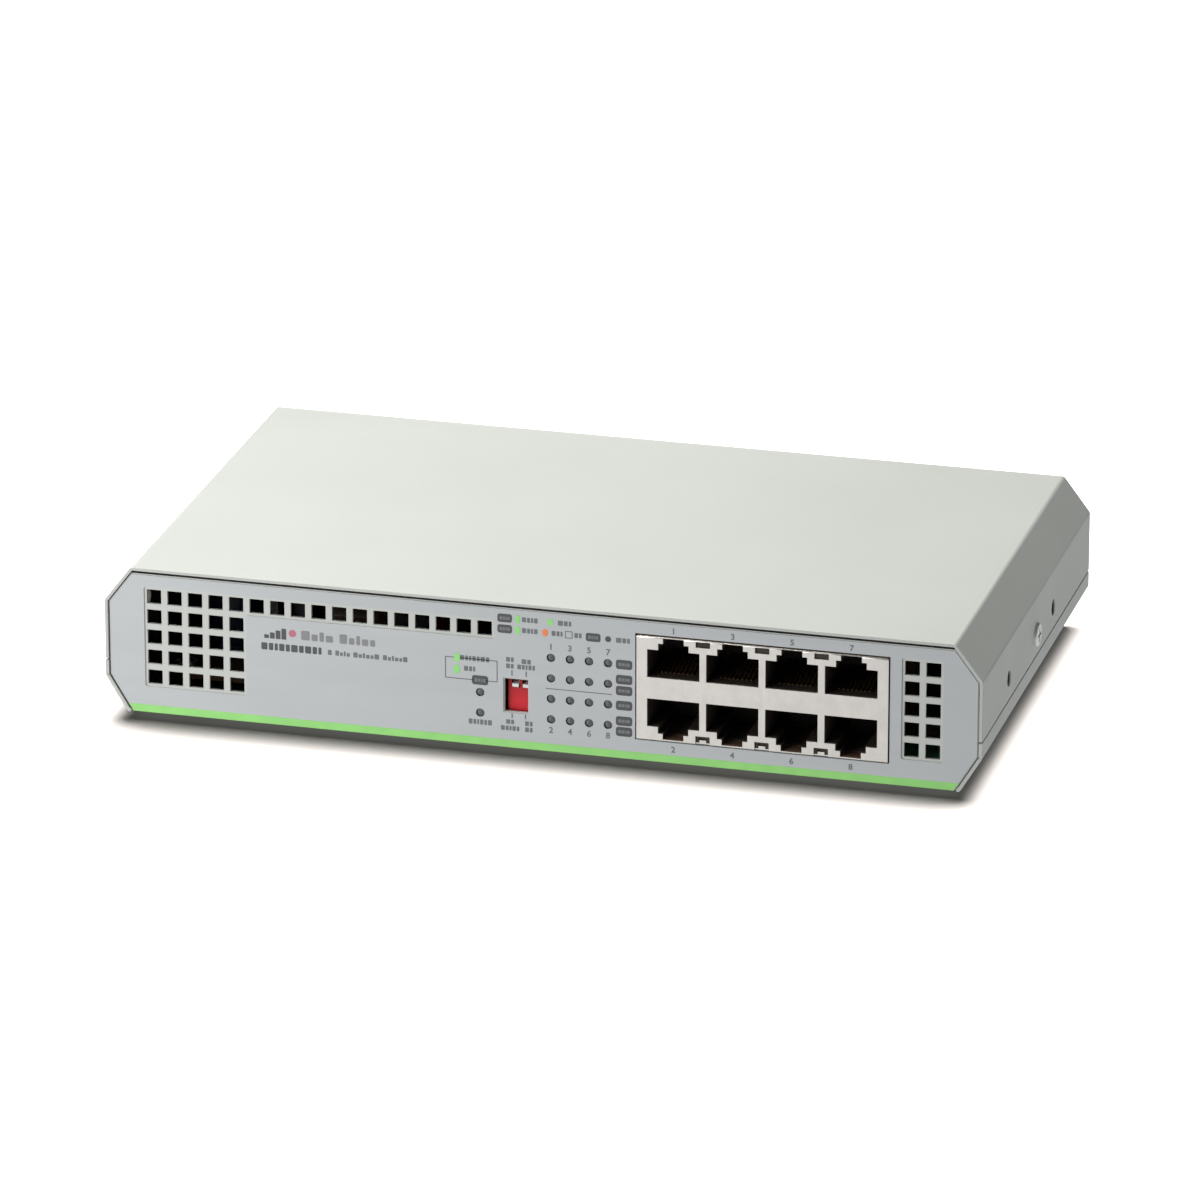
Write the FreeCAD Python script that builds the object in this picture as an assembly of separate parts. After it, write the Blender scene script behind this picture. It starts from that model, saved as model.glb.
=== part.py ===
"""Desktop network switch: a folded steel case, eight wired sockets, a mains inlet and two boards.

Millimetres. +X is to the right seen from the front, +Y runs to the rear and +Z is up. The origin
lies under the middle of the object, on the surface that its rubber feet stand on.
"""
import FreeCAD, Part
import math
import os

V = FreeCAD.Vector

# Case
WIDTH = 210.0               # shell, side to side
DEPTH = 118.0               # shell, front lip to rear lip
CASE_HEIGHT = 36.0          # shell, without its feet
FOOT_HEIGHT = 2.0
SHEET = 0.8                 # steel sheet
LONG_BEND = 1.1             # outer radius of the bends that run front to rear
WALL_BEND = 1.0             # outer radius of the bend under each end wall
TOP_CHAMFER = (6.5, 8.6)    # across, down
BOTTOM_CHAMFER = (5.2, 8.6)  # across, up
SEAM_Z = 14.5               # the top cover meets the base here
SEAM_GAP = 0.4
LIP = 0.6                   # the shell's rim stands this far out from the end walls
WALL_INSET = 1.0            # end walls, in from the shell's outer faces
WALL_TOP_GAP = 0.7          # between an end wall and the underside of the top cover
BEND_RELIEF = 0.5           # notch beside the bend of an end wall
INLET_PROUD = 1.0           # the inlet's flange stands this far behind the rear lip
OVERLAY = 0.25              # printed film on the front wall
OVERLAY_MARGIN = 0.25       # bare wall left round the film's sides and top
OVERLAY_RISE = 0.15         # between the case's underside and the film's lower edge

# Side fastenings, on both sides of the case
SIDE_HOLE_Z = 20.0
BRACKET_HOLE_Y = (-31.2, 17.3)
BRACKET_HOLE_R = 2.0
COVER_SCREW_Y = -1.7
COVER_HEAD = (2.8, 0.8)     # radius, height
COVER_HOLE_R = 1.6
FLANGE_HALF = 45.0          # screw flange inside each side, along Y
FLANGE_Z = (11.5, 27.0)

# Front vents
VENT = 3.5
VENT_PITCH = 5.0
VENT_TOP_Z = 31.0
VENT_ROWS = 5
LEFT_VENT_X = -93.0
LEFT_VENT_COLUMNS = 5
TOP_ROW_COLUMNS = 17
RIGHT_VENT_X = 88.3
RIGHT_VENT_COLUMNS = 2
VENT_BORDER = 0.65          # bare wall left round the vents by the overlay
BARE_EDGE = 0.25            # bare wall left round the setting switch's window

# Indicator lamps
LED_X = 2.93
LED_PITCH_X = 4.54
LED_COLUMNS = 4
LED_TOP_Z = 25.27
LED_PITCH_Z = 5.08
LED_ROWS = 4
STATUS_X = -14.07
STATUS_ROWS = 2
LED_R = 1.0
LED_WALL_CLEARANCE = 0.1    # round a lamp in the front wall
LED_FILM_CLEARANCE = 0.05   # round a lamp in the film
LED_HOLDER_FRONT = -57.0
LED_HOLDER = (4.2, 7.0)     # across, along
LED_BODY = 6.0              # length behind the domed tip

# Two-lever setting switch
DIP_X = -4.65
DIP_PITCH = 2.54
DIP_WINDOW_X = (-8.25, -2.6)
DIP_WINDOW_Z = (11.0, 19.1)
KEY_WIDTH = 1.5
KEY_TIP = (-57.95, 16.8, 17.6)      # Y of a lever's tip, then its lowest and highest Z
TRUNNION_REACH = 0.25       # past each side of a lever
KEY_CLEARANCE = 0.05
KEY_PIVOT = (-53.0, 17.1)   # Y, Z of the levers' axis
KEY_HUB_R = 1.1
TRUNNION_R = 0.5
DIP_WIDTH = 6.2
DIP_BODY_Y = (-57.5, -48.9)
DIP_TOP = 19.4

# Socket block: two rows of four
JACK_X = 53.1
JACK_WIDTH = 59.5
JACK_HEIGHT = 25.5
JACK_DEPTH = 33.0
JACK_GAP = 0.35             # round the block, in the front wall and the film
SOCKET_PITCH = 14.0
SOCKET_COLUMNS = 4
SHIELD = 0.3
SHIELD_LEG_Y = (-50.0, -34.0)
SPRING_SLOT = 3.4           # width of the slots for the grounding springs
SOCKET_STEPS = ((6.08, 9.35), (3.5, 10.95), (2.35, 12.15))  # half width, height above the middle
SOCKET_NEAR = 2.75          # nearest edge of a mouth to the block's middle
SOCKET_DEPTH = 14.6
MOUTH_MARGIN = 0.12         # the shield's mouths clear the housing's by this much
LATCH_RELIEF = 3.5          # depth of the open strip at the end of each latch step
CONTACT_PITCH = 1.02
CONTACTS = 8

# Mains inlet, in the rear wall
INLET_X = -70.0
INLET_Z = 20.0
INLET_FLANGE = (30.7, 22.6)
INLET_BODY = (26.8, 19.6)
INLET_CAVITY = (24.0, 16.5)
INLET_CLEARANCE = 0.3       # round the inlet's body, in the rear wall

# Rear vents and lock slot
REAR_VENT_MIDDLE = (45.0, 26.0)
REAR_VENT_COUNTS = (14, 2)
LOCK_SLOT = (7.0, 3.0)
LOCK_Z = 20.0

# Feet
FOOT_PITCH = (172.0, 88.0)
FOOT_R = 6.0

# Boards
BOARD = 1.6
STANDOFF = 3.1
LEAD_R = 0.3
MAIN_BOARD = (-20.0, 98.0, -57.3, 30.0)     # x0, x1, y0, y1
POWER_BOARD = (-95.0, -30.0, -45.0, 28.0)
MAIN_SCREWS = ((-16.0, -44.0), (94.0, -47.5), (94.0, 26.0), (-16.0, 26.0))
POWER_SCREWS = ((-91.0, -41.0), (-34.0, -41.0), (-91.0, 24.0), (-34.0, 24.0))
EARTH_POINT = (-50.0, 45.0)
SCREW_HOLE_R = 1.6
DC_HEADERS = ((-34.0, -25.0), (-13.0, -25.0))   # on the power board, on the main board
HEADER_PITCH = 2.5

# Middles of the parts on the main board
CHIP = (52.0, 2.0)
CRYSTAL = (22.0, 6.0)
FLASH_CHIP = (10.0, 12.0)
REGULATOR = (8.0, -14.0)
INDUCTORS = ((84.0, -8.0), (84.0, 6.0))
ELECTROLYTICS = ((84.0, 18.0), (76.0, -18.0), (24.0, -18.0), (24.0, 20.0), (2.0, -24.0))

# Middles of the parts on the power board
AC_HEADER = (-86.0, 14.0)
FUSE = (-74.0, 16.0)
X_CAPACITOR = (-60.0, 18.0)
CHOKE = (-84.0, -3.0)
BRIDGE = (-66.0, 6.0)
BULK_CAPACITOR = (-83.5, -24.0)
TRANSFORMER = (-55.0, -16.0)
TRANSISTOR_LEADS = (-68.7, -22.0)
DIODE = (-38.0, -34.5)
OUTPUT_X = -36.0
OUTPUT_Y = (-7.5, 3.5, 14.5)
Y_CAPACITOR = (-51.0, 2.0)
COUPLER = (-49.0, 10.0)

# Faces and levels that follow
HALF = WIDTH / 2
FLOOR = FOOT_HEIGHT
TOP = FOOT_HEIGHT + CASE_HEIGHT
FRONT_LIP = -(DEPTH + INLET_PROUD) / 2
REAR_LIP = FRONT_LIP + DEPTH
MIDDLE_Y = (FRONT_LIP + REAR_LIP) / 2
FRONT_WALL = FRONT_LIP + LIP
REAR_WALL = REAR_LIP - LIP
OVERLAY_FACE = FRONT_WALL - OVERLAY
WALL_TOP = TOP - SHEET - WALL_TOP_GAP
INNER_FLOOR = FLOOR + SHEET
INNER_SIDE = HALF - SHEET
BOARD_BOTTOM = INNER_FLOOR + STANDOFF
BOARD_TOP = BOARD_BOTTOM + BOARD
LEAD_TIP = BOARD_BOTTOM - 1.0
JACK_FRONT = FRONT_WALL - 0.4
JACK_REAR = JACK_FRONT + JACK_DEPTH
JACK_TOP = BOARD_TOP + JACK_HEIGHT
JACK_MIDDLE = BOARD_TOP + JACK_HEIGHT / 2
HOUSING_FRONT = JACK_FRONT + SHIELD + 0.05
SOCKET_BACK = HOUSING_FRONT + SOCKET_DEPTH
REACH = 1.0                 # how far a cutting shape runs past a face

# An outline's own two directions and the direction it is pushed in
PLACE = {
    "x": lambda u, v, w: V(w, u, v),
    "y": lambda u, v, w: V(u, w, v),
    "z": lambda u, v, w: V(u, v, w),
}
ALONG = {"x": V(1, 0, 0), "y": V(0, 1, 0), "z": V(0, 0, 1)}


# Shapes

def box(x0, x1, y0, y1, z0, z1):
    """A box between two corners."""
    return Part.makeBox(x1 - x0, y1 - y0, z1 - z0, V(x0, y0, z0))


def standing(centre, size, base):
    """A box about a centre in X and Y, standing on a level."""
    x, y = centre
    across, along, height = size
    return Part.makeBox(across, along, height, V(x - across / 2, y - along / 2, base))


def rod(start, axis, radius, length):
    """A cylinder from a start point along X, Y or Z."""
    return Part.makeCylinder(radius, length, V(*start), ALONG[axis])


def tube(start, axis, outer, inner, length):
    """A hollow cylinder."""
    return rod(start, axis, outer, length).cut(rod(start, axis, inner, length))


def group(shapes):
    """Separate solids that share one node."""
    return Part.makeCompound(list(shapes))


def prism(axis, points, start, length):
    """An outline pushed along an axis."""
    corners = [PLACE[axis](u, v, start) for u, v in points]
    return Part.Face(Part.makePolygon(corners + corners[:1])).extrude(ALONG[axis] * length)


def rounded(shape, axis, radius):
    """A shape with the edges that run along an axis rounded."""
    edges = [e for e in shape.Edges if abs(e.tangentAt(e.FirstParameter).dot(ALONG[axis])) > 0.999]
    return shape.makeFillet(radius, edges)


def soften_top(shape, radius):
    """A shape with the edges of its highest face rounded."""
    level = shape.BoundBox.ZMax
    top = [e for e in shape.Edges if e.BoundBox.ZMin > level - 0.001]
    return shape.makeFillet(radius, top)


def grid(centre, counts, pitches):
    """Centres of a regular grid of points."""
    x, y = centre
    columns, rows = counts
    return [
        (x + (i - (columns - 1) / 2) * pitches[0], y + (j - (rows - 1) / 2) * pitches[1])
        for i in range(columns)
        for j in range(rows)
    ]


def direction(start, end):
    """The unit direction from one outline point to the next, and the direction to its left."""
    length = math.dist(start, end)
    u = (end[0] - start[0]) / length
    v = (end[1] - start[1]) / length
    return (u, v), (-v, u)


def shifted(point, way, distance):
    """An outline point moved some distance in a direction."""
    return (point[0] + way[0] * distance, point[1] + way[1] * distance)


def sheet_face(points, offset, thickness, radius):
    """Runs and arcs along one face of a folded sheet, as lists of two or three points."""
    way, left = direction(points[0], points[1])
    here = shifted(points[0], left, offset)
    pieces = []
    for corner, after in zip(points[1:-1], points[2:]):
        next_way, next_left = direction(corner, after)
        cross = way[0] * next_way[1] - way[1] * next_way[0]
        side = math.copysign(1.0, cross)
        turn = math.asin(min(1.0, abs(cross)))
        path_radius = radius if side > 0 else radius - thickness
        arc_radius = path_radius - side * offset
        tangent = shifted(corner, way, -path_radius * math.tan(turn / 2))
        centre = shifted(tangent, left, side * path_radius)
        between = (left[0] + next_left[0], left[1] + next_left[1])
        middle = direction((0.0, 0.0), between)[0]
        arc = [shifted(centre, out, -side * arc_radius) for out in (left, middle, next_left)]
        pieces.append([here, arc[0]])
        pieces.append(arc)
        here = arc[2]
        way, left = next_way, next_left
    pieces.append([here, shifted(points[-1], left, offset)])
    return pieces


def folded_sheet(axis, points, start, length, thickness=SHEET, radius=LONG_BEND):
    """A bent sheet. Its one face follows the points, and its thickness lies to their left."""
    outer = sheet_face(points, 0.0, thickness, radius)
    inner = sheet_face(points, thickness, thickness, radius)
    ends = [[outer[0][0], inner[0][0]], [outer[-1][-1], inner[-1][-1]]]
    edges = []
    for piece in outer + inner + ends:
        spots = [PLACE[axis](u, v, start) for u, v in piece]
        curve = Part.LineSegment(*spots) if len(spots) == 2 else Part.Arc(*spots)
        edges.append(curve.toShape())
    face = Part.Face(Part.Wire(Part.__sortEdges__(edges)))
    return face.extrude(ALONG[axis] * length)


def wire_run(points, radius):
    """An insulated wire along straight runs joined by tangent arcs."""
    spots = [V(*p) for p in points]
    here = spots[0]
    edges = []
    for before, corner, after in zip(spots, spots[1:], spots[2:]):
        into = (corner - before).normalize()
        out = (after - corner).normalize()
        half_turn = into.getAngle(out) / 2
        reach = 0.45 * min((corner - before).Length, (after - corner).Length)
        bend = reach / math.tan(half_turn)
        first = corner - into * reach
        last = corner + out * reach
        inward = (out - into).normalize()
        middle = corner + inward * (bend / math.cos(half_turn) - bend)
        edges.append(Part.LineSegment(here, first).toShape())
        edges.append(Part.Arc(first, middle, last).toShape())
        here = last
    edges.append(Part.LineSegment(here, spots[-1]).toShape())
    ring = Part.makeCircle(radius, spots[0], spots[1] - spots[0])
    return Part.Wire(edges).makePipeShell([Part.Wire([ring])], True, False)


def case_outline(inset, low, high):
    """The case's section in X and Z, set in by a margin and cut level at low and high."""
    across, down = TOP_CHAMFER
    slant = math.hypot(across, down)
    shoulder = TOP - down
    upper = (HALF - inset, shoulder - inset * (slant - down) / across)
    top = (HALF - (inset * slant + across * (high - shoulder)) / down, high)
    across, up = BOTTOM_CHAMFER
    slant = math.hypot(across, up)
    hip = FLOOR + up
    lower = (HALF - inset, hip + inset * (slant - up) / across)
    bottom = (HALF - (inset * slant + across * (hip - low)) / up, low)
    right = [bottom, lower, upper, top]
    return right + [(-x, z) for x, z in reversed(right)]


# Places that several pieces share

def vent_centres():
    """Centres in X and Z of the square vents in the front wall."""
    rows = [VENT_TOP_Z - VENT_PITCH * j for j in range(VENT_ROWS)]
    left = [LEFT_VENT_X + VENT_PITCH * i for i in range(LEFT_VENT_COLUMNS)]
    right = [RIGHT_VENT_X + VENT_PITCH * i for i in range(RIGHT_VENT_COLUMNS)]
    rest = [LEFT_VENT_X + VENT_PITCH * i for i in range(LEFT_VENT_COLUMNS, TOP_ROW_COLUMNS)]
    return [(x, z) for z in rows for x in left + right] + [(x, VENT_TOP_Z) for x in rest]


def led_columns():
    """X of each column of lamps, with its rows: four port columns and the status column."""
    heights = [LED_TOP_Z - LED_PITCH_Z * j for j in range(LED_ROWS)]
    columns = [(LED_X + LED_PITCH_X * i, heights) for i in range(LED_COLUMNS)]
    return columns + [(STATUS_X, heights[-STATUS_ROWS:])]


def led_centres():
    """Centres in X and Z of every lamp."""
    return [(x, z) for x, heights in led_columns() for z in heights]


def socket_centres():
    """X of each socket column, with +1 for the upper row and -1 for the lower row."""
    middle = (SOCKET_COLUMNS - 1) / 2
    columns = [JACK_X + (i - middle) * SOCKET_PITCH for i in range(SOCKET_COLUMNS)]
    return [(x, row) for row in (1, -1) for x in columns]


def socket_outline(x, row, grow=0.0):
    """A socket's mouth: a wide part for the plug, then two steps for its latch."""
    right = []
    floor = SOCKET_NEAR - grow
    for half, height in SOCKET_STEPS:
        right += [(half + grow, floor), (half + grow, height + grow)]
        floor = height + grow
    left = [(-u, v) for u, v in reversed(right)]
    return [(x + u, JACK_MIDDLE + row * v) for u, v in right + left]


def key_centres():
    """X of each lever of the setting switch."""
    return [DIP_X - DIP_PITCH / 2, DIP_X + DIP_PITCH / 2]


def led_lead_points():
    """Leads under the lamp holders."""
    return [
        point
        for x, heights in led_columns()
        for point in grid((x, -53.5), (2, len(heights)), (2.0, 1.6))
    ]


def main_lead_points():
    """Leads that pass through the main board."""
    jack = grid((JACK_X, -35.0), (16, 4), (2.54, 2.54))
    dip = grid((DIP_X, -53.3), (2, 2), (DIP_PITCH, 7.62))
    header = grid(DC_HEADERS[1], (1, 4), (0.0, HEADER_PITCH))
    can = grid(CRYSTAL, (2, 1), (4.9, 0.0))
    return {"jack": jack, "dip": dip, "leds": led_lead_points(), "header": header, "can": can}


def power_lead_points():
    """Leads that pass through the power board."""
    return {
        "ac_header": grid(AC_HEADER, (2, 1), (4.0, 0.0)),
        "fuse": grid(FUSE, (2, 1), (5.08, 0.0)),
        "x_capacitor": grid(X_CAPACITOR, (2, 1), (15.0, 0.0)),
        "choke": grid(CHOKE, (2, 2), (9.0, 9.0)),
        "bridge": grid(BRIDGE, (4, 1), (3.8, 0.0)),
        "bulk": grid(BULK_CAPACITOR, (2, 1), (7.5, 0.0)),
        "transformer": grid(TRANSFORMER, (4, 2), (4.0, 15.0)),
        "transistor": grid(TRANSISTOR_LEADS, (1, 3), (0.0, 2.54)),
        "diode": grid(DIODE, (3, 1), (2.54, 0.0)),
        "outputs": [spot for y in OUTPUT_Y for spot in grid((OUTPUT_X, y), (2, 1), (3.5, 0.0))],
        "y_capacitor": grid(Y_CAPACITOR, (2, 1), (7.5, 0.0)),
        "coupler": grid(COUPLER, (2, 2), (2.54, 7.62)),
        "header": grid(DC_HEADERS[0], (1, 4), (0.0, HEADER_PITCH)),
    }


MAIN_LEADS = main_lead_points()
POWER_LEADS = power_lead_points()


def leads(points, top=BOARD_TOP, radius=LEAD_R):
    """Round leads from below a board up to a level."""
    return [rod((x, y, LEAD_TIP), "z", radius, top - LEAD_TIP) for x, y in points]


def with_leads(body, points):
    """A body with its leads grown from its underside."""
    return body.fuse(leads(points, BOARD_TOP + 0.5))


# Case

def end_wall():
    """The front wall: a flat plate and the bend that joins it to the floor."""
    outline = case_outline(WALL_INSET, FLOOR + WALL_BEND, WALL_TOP)
    plate = prism("y", outline, FRONT_WALL, SHEET)
    half = case_outline(WALL_INSET, INNER_FLOOR, WALL_TOP)[0][0] - BEND_RELIEF
    path = [
        (FRONT_WALL, FLOOR + 2 * WALL_BEND),
        (FRONT_WALL, FLOOR),
        (FRONT_WALL + 3 * WALL_BEND, FLOOR),
    ]
    return plate.fuse(folded_sheet("x", path, -half, 2 * half, radius=WALL_BEND))


def trough():
    """The base's floor, lower chamfers and sides, notched at each end for the end walls."""
    across, up = BOTTOM_CHAMFER
    rim = SEAM_Z - SEAM_GAP / 2
    right = [(HALF - across, FLOOR), (HALF, FLOOR + up), (HALF, rim)]
    path = [(-x, z) for x, z in reversed(right)] + right
    body = folded_sheet("y", path, FRONT_LIP, DEPTH)
    half = case_outline(WALL_INSET, INNER_FLOOR, WALL_TOP)[0][0]
    edge = FRONT_WALL + WALL_BEND + BEND_RELIEF
    notch = box(-half, half, FRONT_LIP - REACH, edge, FLOOR - REACH, INNER_FLOOR + REACH)
    return body.cut([notch, notch.mirror(V(0, MIDDLE_Y, 0), V(0, 1, 0))])


def side_holes(x0, x1):
    """Bracket holes on one side of the case."""
    return [rod((x0, y, SIDE_HOLE_Z), "x", BRACKET_HOLE_R, x1 - x0) for y in BRACKET_HOLE_Y]


def screw_flanges():
    """The strip inside each side that the cover's screws and the brackets fasten to."""
    flange = box(
        INNER_SIDE - SHEET, INNER_SIDE, -FLANGE_HALF, FLANGE_HALF, FLANGE_Z[0], FLANGE_Z[1]
    )
    x0 = INNER_SIDE - SHEET - REACH
    x1 = INNER_SIDE + REACH
    screw = rod((x0, COVER_SCREW_Y, SIDE_HOLE_Z), "x", COVER_HOLE_R - 0.1, x1 - x0)
    right = rounded(flange, "x", 2.0).cut(side_holes(x0, x1) + [screw])
    return [right, right.mirror(V(0, 0, 0), V(1, 0, 0))]


def jack_opening(y0, y1):
    """The opening for the socket block, between two distances along Y."""
    half = JACK_WIDTH / 2 + JACK_GAP
    return box(JACK_X - half, JACK_X + half, y0, y1, BOARD_TOP - JACK_GAP, JACK_TOP + JACK_GAP)


def front_cuts():
    """Vents, lamp holes, the setting switch's window and the socket block's opening."""
    y0 = FRONT_WALL - REACH
    y1 = FRONT_WALL + SHEET + REACH
    reach = VENT / 2
    vents = [box(x - reach, x + reach, y0, y1, z - reach, z + reach) for x, z in vent_centres()]
    radius = LED_R + LED_WALL_CLEARANCE
    lamps = [rod((x, y0, z), "y", radius, y1 - y0) for x, z in led_centres()]
    window = box(*DIP_WINDOW_X, y0, y1, *DIP_WINDOW_Z)
    return vents + lamps + [window, jack_opening(y0, y1)]


def rear_cuts():
    """The inlet's opening, a grid of vents and a security lock slot."""
    y0 = REAR_WALL - SHEET - REACH
    y1 = REAR_WALL + REACH
    half_x = INLET_BODY[0] / 2 + INLET_CLEARANCE
    half_z = INLET_BODY[1] / 2 + INLET_CLEARANCE
    inlet = box(
        INLET_X - half_x, INLET_X + half_x, y0, y1, INLET_Z - half_z, INLET_Z + half_z
    )
    reach = VENT / 2
    vents = [
        box(x - reach, x + reach, y0, y1, z - reach, z + reach)
        for x, z in grid(REAR_VENT_MIDDLE, REAR_VENT_COUNTS, (VENT_PITCH, VENT_PITCH))
    ]
    half, rise = LOCK_SLOT[0] / 2, LOCK_SLOT[1] / 2
    lock = rounded(box(-half, half, y0, y1, LOCK_Z - rise, LOCK_Z + rise), "y", 1.0)
    return vents + [inlet, lock]


def base_chassis():
    """Floor, lower sides, front wall and rear wall: one folded sheet, with its screw flanges."""
    front = end_wall()
    rear = front.mirror(V(0, MIDDLE_Y, 0), V(0, 1, 0))
    body = trough().fuse([front.cut(front_cuts()), rear.cut(rear_cuts())] + screw_flanges())
    earth_hole = rod((*EARTH_POINT, FLOOR - REACH), "z", SCREW_HOLE_R, 3 * REACH)
    return body.cut(earth_hole).removeSplitter()


def top_cover():
    """Top, upper chamfers and sides, folded from one sheet, with its screw and bracket holes."""
    across, down = TOP_CHAMFER
    rim = SEAM_Z + SEAM_GAP / 2
    right = [(HALF, rim), (HALF, TOP - down), (HALF - across, TOP)]
    path = right + [(-x, z) for x, z in reversed(right)]
    body = folded_sheet("y", path, FRONT_LIP, DEPTH)
    x0 = INNER_SIDE - REACH
    x1 = HALF + REACH
    screw = rod((x0, COVER_SCREW_Y, SIDE_HOLE_Z), "x", COVER_HOLE_R, x1 - x0)
    holes = side_holes(x0, x1) + [screw]
    return body.cut(holes + [h.mirror(V(0, 0, 0), V(1, 0, 0)) for h in holes])


def overlay_cuts():
    """Openings in the film: round the vent groups, the lamps, the switch and the sockets."""
    y0 = OVERLAY_FACE - REACH
    y1 = FRONT_WALL + REACH
    margin = VENT / 2 + VENT_BORDER
    low = VENT_TOP_Z - VENT_PITCH * (VENT_ROWS - 1) - margin
    high = VENT_TOP_Z + margin

    def round_window(first, columns, bottom):
        last = first + VENT_PITCH * (columns - 1)
        return rounded(box(first - margin, last + margin, y0, y1, bottom, high), "y", 0.6)

    left = round_window(LEFT_VENT_X, LEFT_VENT_COLUMNS, low)
    row = round_window(LEFT_VENT_X, TOP_ROW_COLUMNS, VENT_TOP_Z - margin)
    right = round_window(RIGHT_VENT_X, RIGHT_VENT_COLUMNS, low)
    radius = LED_R + LED_FILM_CLEARANCE
    lamps = [rod((x, y0, z), "y", radius, y1 - y0) for x, z in led_centres()]
    x0, x1 = DIP_WINDOW_X
    z0, z1 = DIP_WINDOW_Z
    window = box(x0 - BARE_EDGE, x1 + BARE_EDGE, y0, y1, z0 - BARE_EDGE, z1 + BARE_EDGE)
    return [left, row, right, window, jack_opening(y0, y1)] + lamps


def front_overlay():
    """The printed film that covers the front wall."""
    low = FLOOR + OVERLAY_RISE
    outline = case_outline(WALL_INSET + OVERLAY_MARGIN, low, WALL_TOP - OVERLAY_MARGIN)
    return prism("y", outline, OVERLAY_FACE, OVERLAY).cut(overlay_cuts())


def cover_screws():
    """Two low cross-recess screws, one in each side."""
    radius, height = COVER_HEAD
    face = HALF + height
    head = rod((HALF, COVER_SCREW_Y, SIDE_HOLE_Z), "x", radius, height)
    rim = [e for e in head.Edges if e.BoundBox.XMin > face - 0.001]
    head = head.makeFillet(0.5, rim)
    shank = rod((HALF - 6.0, COVER_SCREW_Y, SIDE_HOLE_Z), "x", 1.4, 6.5)
    slot = standing((face, COVER_SCREW_Y), (1.2, 0.75, 3.4), SIDE_HOLE_Z - 1.7)
    cross = slot.copy()
    cross.rotate(V(0, COVER_SCREW_Y, SIDE_HOLE_Z), V(1, 0, 0), 90)
    screw = head.fuse(shank).cut([slot, cross])
    return group([screw, screw.mirror(V(0, 0, 0), V(1, 0, 0))])


def rubber_feet():
    """Four round glued feet."""
    feet = []
    for x, y in grid((0.0, MIDDLE_Y), (2, 2), FOOT_PITCH):
        foot = rod((x, y, 0.0), "z", FOOT_R, FOOT_HEIGHT)
        lower = [e for e in foot.Edges if e.BoundBox.ZMax < 0.001]
        feet.append(foot.makeFillet(0.6, lower))
    return group(feet)


# Lamps

def led_lamps():
    """Every lamp: a round body with a domed tip that reaches into the overlay."""
    tip = FRONT_WALL + LED_R - 0.2
    lamps = []
    for x, z in led_centres():
        body = rod((x, tip, z), "y", LED_R, LED_BODY)
        lamps.append(body.fuse(Part.makeSphere(LED_R, V(x, tip, z))).removeSplitter())
    return group(lamps)


def led_holder(x, heights):
    """A moulded holder that carries one column of lamps above the board."""
    half = LED_HOLDER[0] / 2
    rear = LED_HOLDER_FRONT + LED_HOLDER[1]
    front = LED_HOLDER_FRONT - REACH
    body = box(x - half, x + half, LED_HOLDER_FRONT, rear, BOARD_TOP, heights[0] + 2.4)
    pockets = [rod((x, front, z), "y", LED_R + 0.03, LED_BODY + 0.2) for z in heights]
    return soften_top(body, 0.4).cut(pockets)


# Setting switch

def dip_body():
    """The switch's body, with one slot for each lever that is open in front and on top."""
    half = DIP_WIDTH / 2
    front, rear = DIP_BODY_Y
    pivot_y, pivot_z = KEY_PIVOT
    low = KEY_TIP[1] - 0.25
    hub = KEY_HUB_R + 0.3
    body = box(DIP_X - half, DIP_X + half, front, rear, BOARD_TOP, DIP_TOP)
    cuts = []
    for x in key_centres():
        reach = KEY_WIDTH / 2 + KEY_CLEARANCE
        mouth = reach + 0.2
        socket = reach + TRUNNION_REACH
        cuts.append(box(x - mouth, x + mouth, front - REACH, front + 1.2, low, DIP_TOP + REACH))
        cuts.append(box(x - reach, x + reach, front - REACH, pivot_y + hub, low, DIP_TOP + REACH))
        cuts.append(rod((x - reach, pivot_y, pivot_z), "x", hub, 2 * reach))
        bearing = TRUNNION_R + KEY_CLEARANCE
        cuts.append(rod((x - socket, pivot_y, pivot_z), "x", bearing, 2 * socket))
    return body.cut(cuts)


def dip_key(x):
    """A lever: a hub on two short trunnions, and an arm whose tip shows in the window."""
    pivot_y, pivot_z = KEY_PIVOT
    half = KEY_WIDTH / 2
    tip, low, high = KEY_TIP
    outline = [
        (pivot_y, low),
        (tip, low),
        (tip, high),
        (tip + 0.9, high),
        (pivot_y, pivot_z + KEY_HUB_R),
    ]
    arm = prism("x", outline, x - half, KEY_WIDTH)
    hub = rod((x - half, pivot_y, pivot_z), "x", KEY_HUB_R, KEY_WIDTH)
    reach = half + TRUNNION_REACH
    trunnions = rod((x - reach, pivot_y, pivot_z), "x", TRUNNION_R, 2 * reach)
    return arm.fuse([hub, trunnions]).removeSplitter()


# Socket block

def spring_places():
    """X of the grounding springs, between neighbouring socket columns."""
    return [JACK_X - SOCKET_PITCH, JACK_X, JACK_X + SOCKET_PITCH]


def leg_places():
    """X of each side of the shield at its low edge, and Y of each leg there."""
    low = JACK_X - JACK_WIDTH / 2
    high = JACK_X + JACK_WIDTH / 2 - SHIELD
    return [(x, y) for x in (low, high) for y in SHIELD_LEG_Y]


def latch_reliefs(y0, y1, grow=0.0):
    """Strips that open the end of each latch step up to the shield's own top or bottom."""
    half = SOCKET_STEPS[-1][0] + grow
    floor = SOCKET_STEPS[-1][1] - 0.5
    roof = JACK_HEIGHT / 2 - SHIELD
    strips = []
    for x, row in socket_centres():
        low, high = sorted((JACK_MIDDLE + row * floor, JACK_MIDDLE + row * roof))
        strips.append(box(x - half, x + half, y0, y1, low, high))
    return strips


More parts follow.
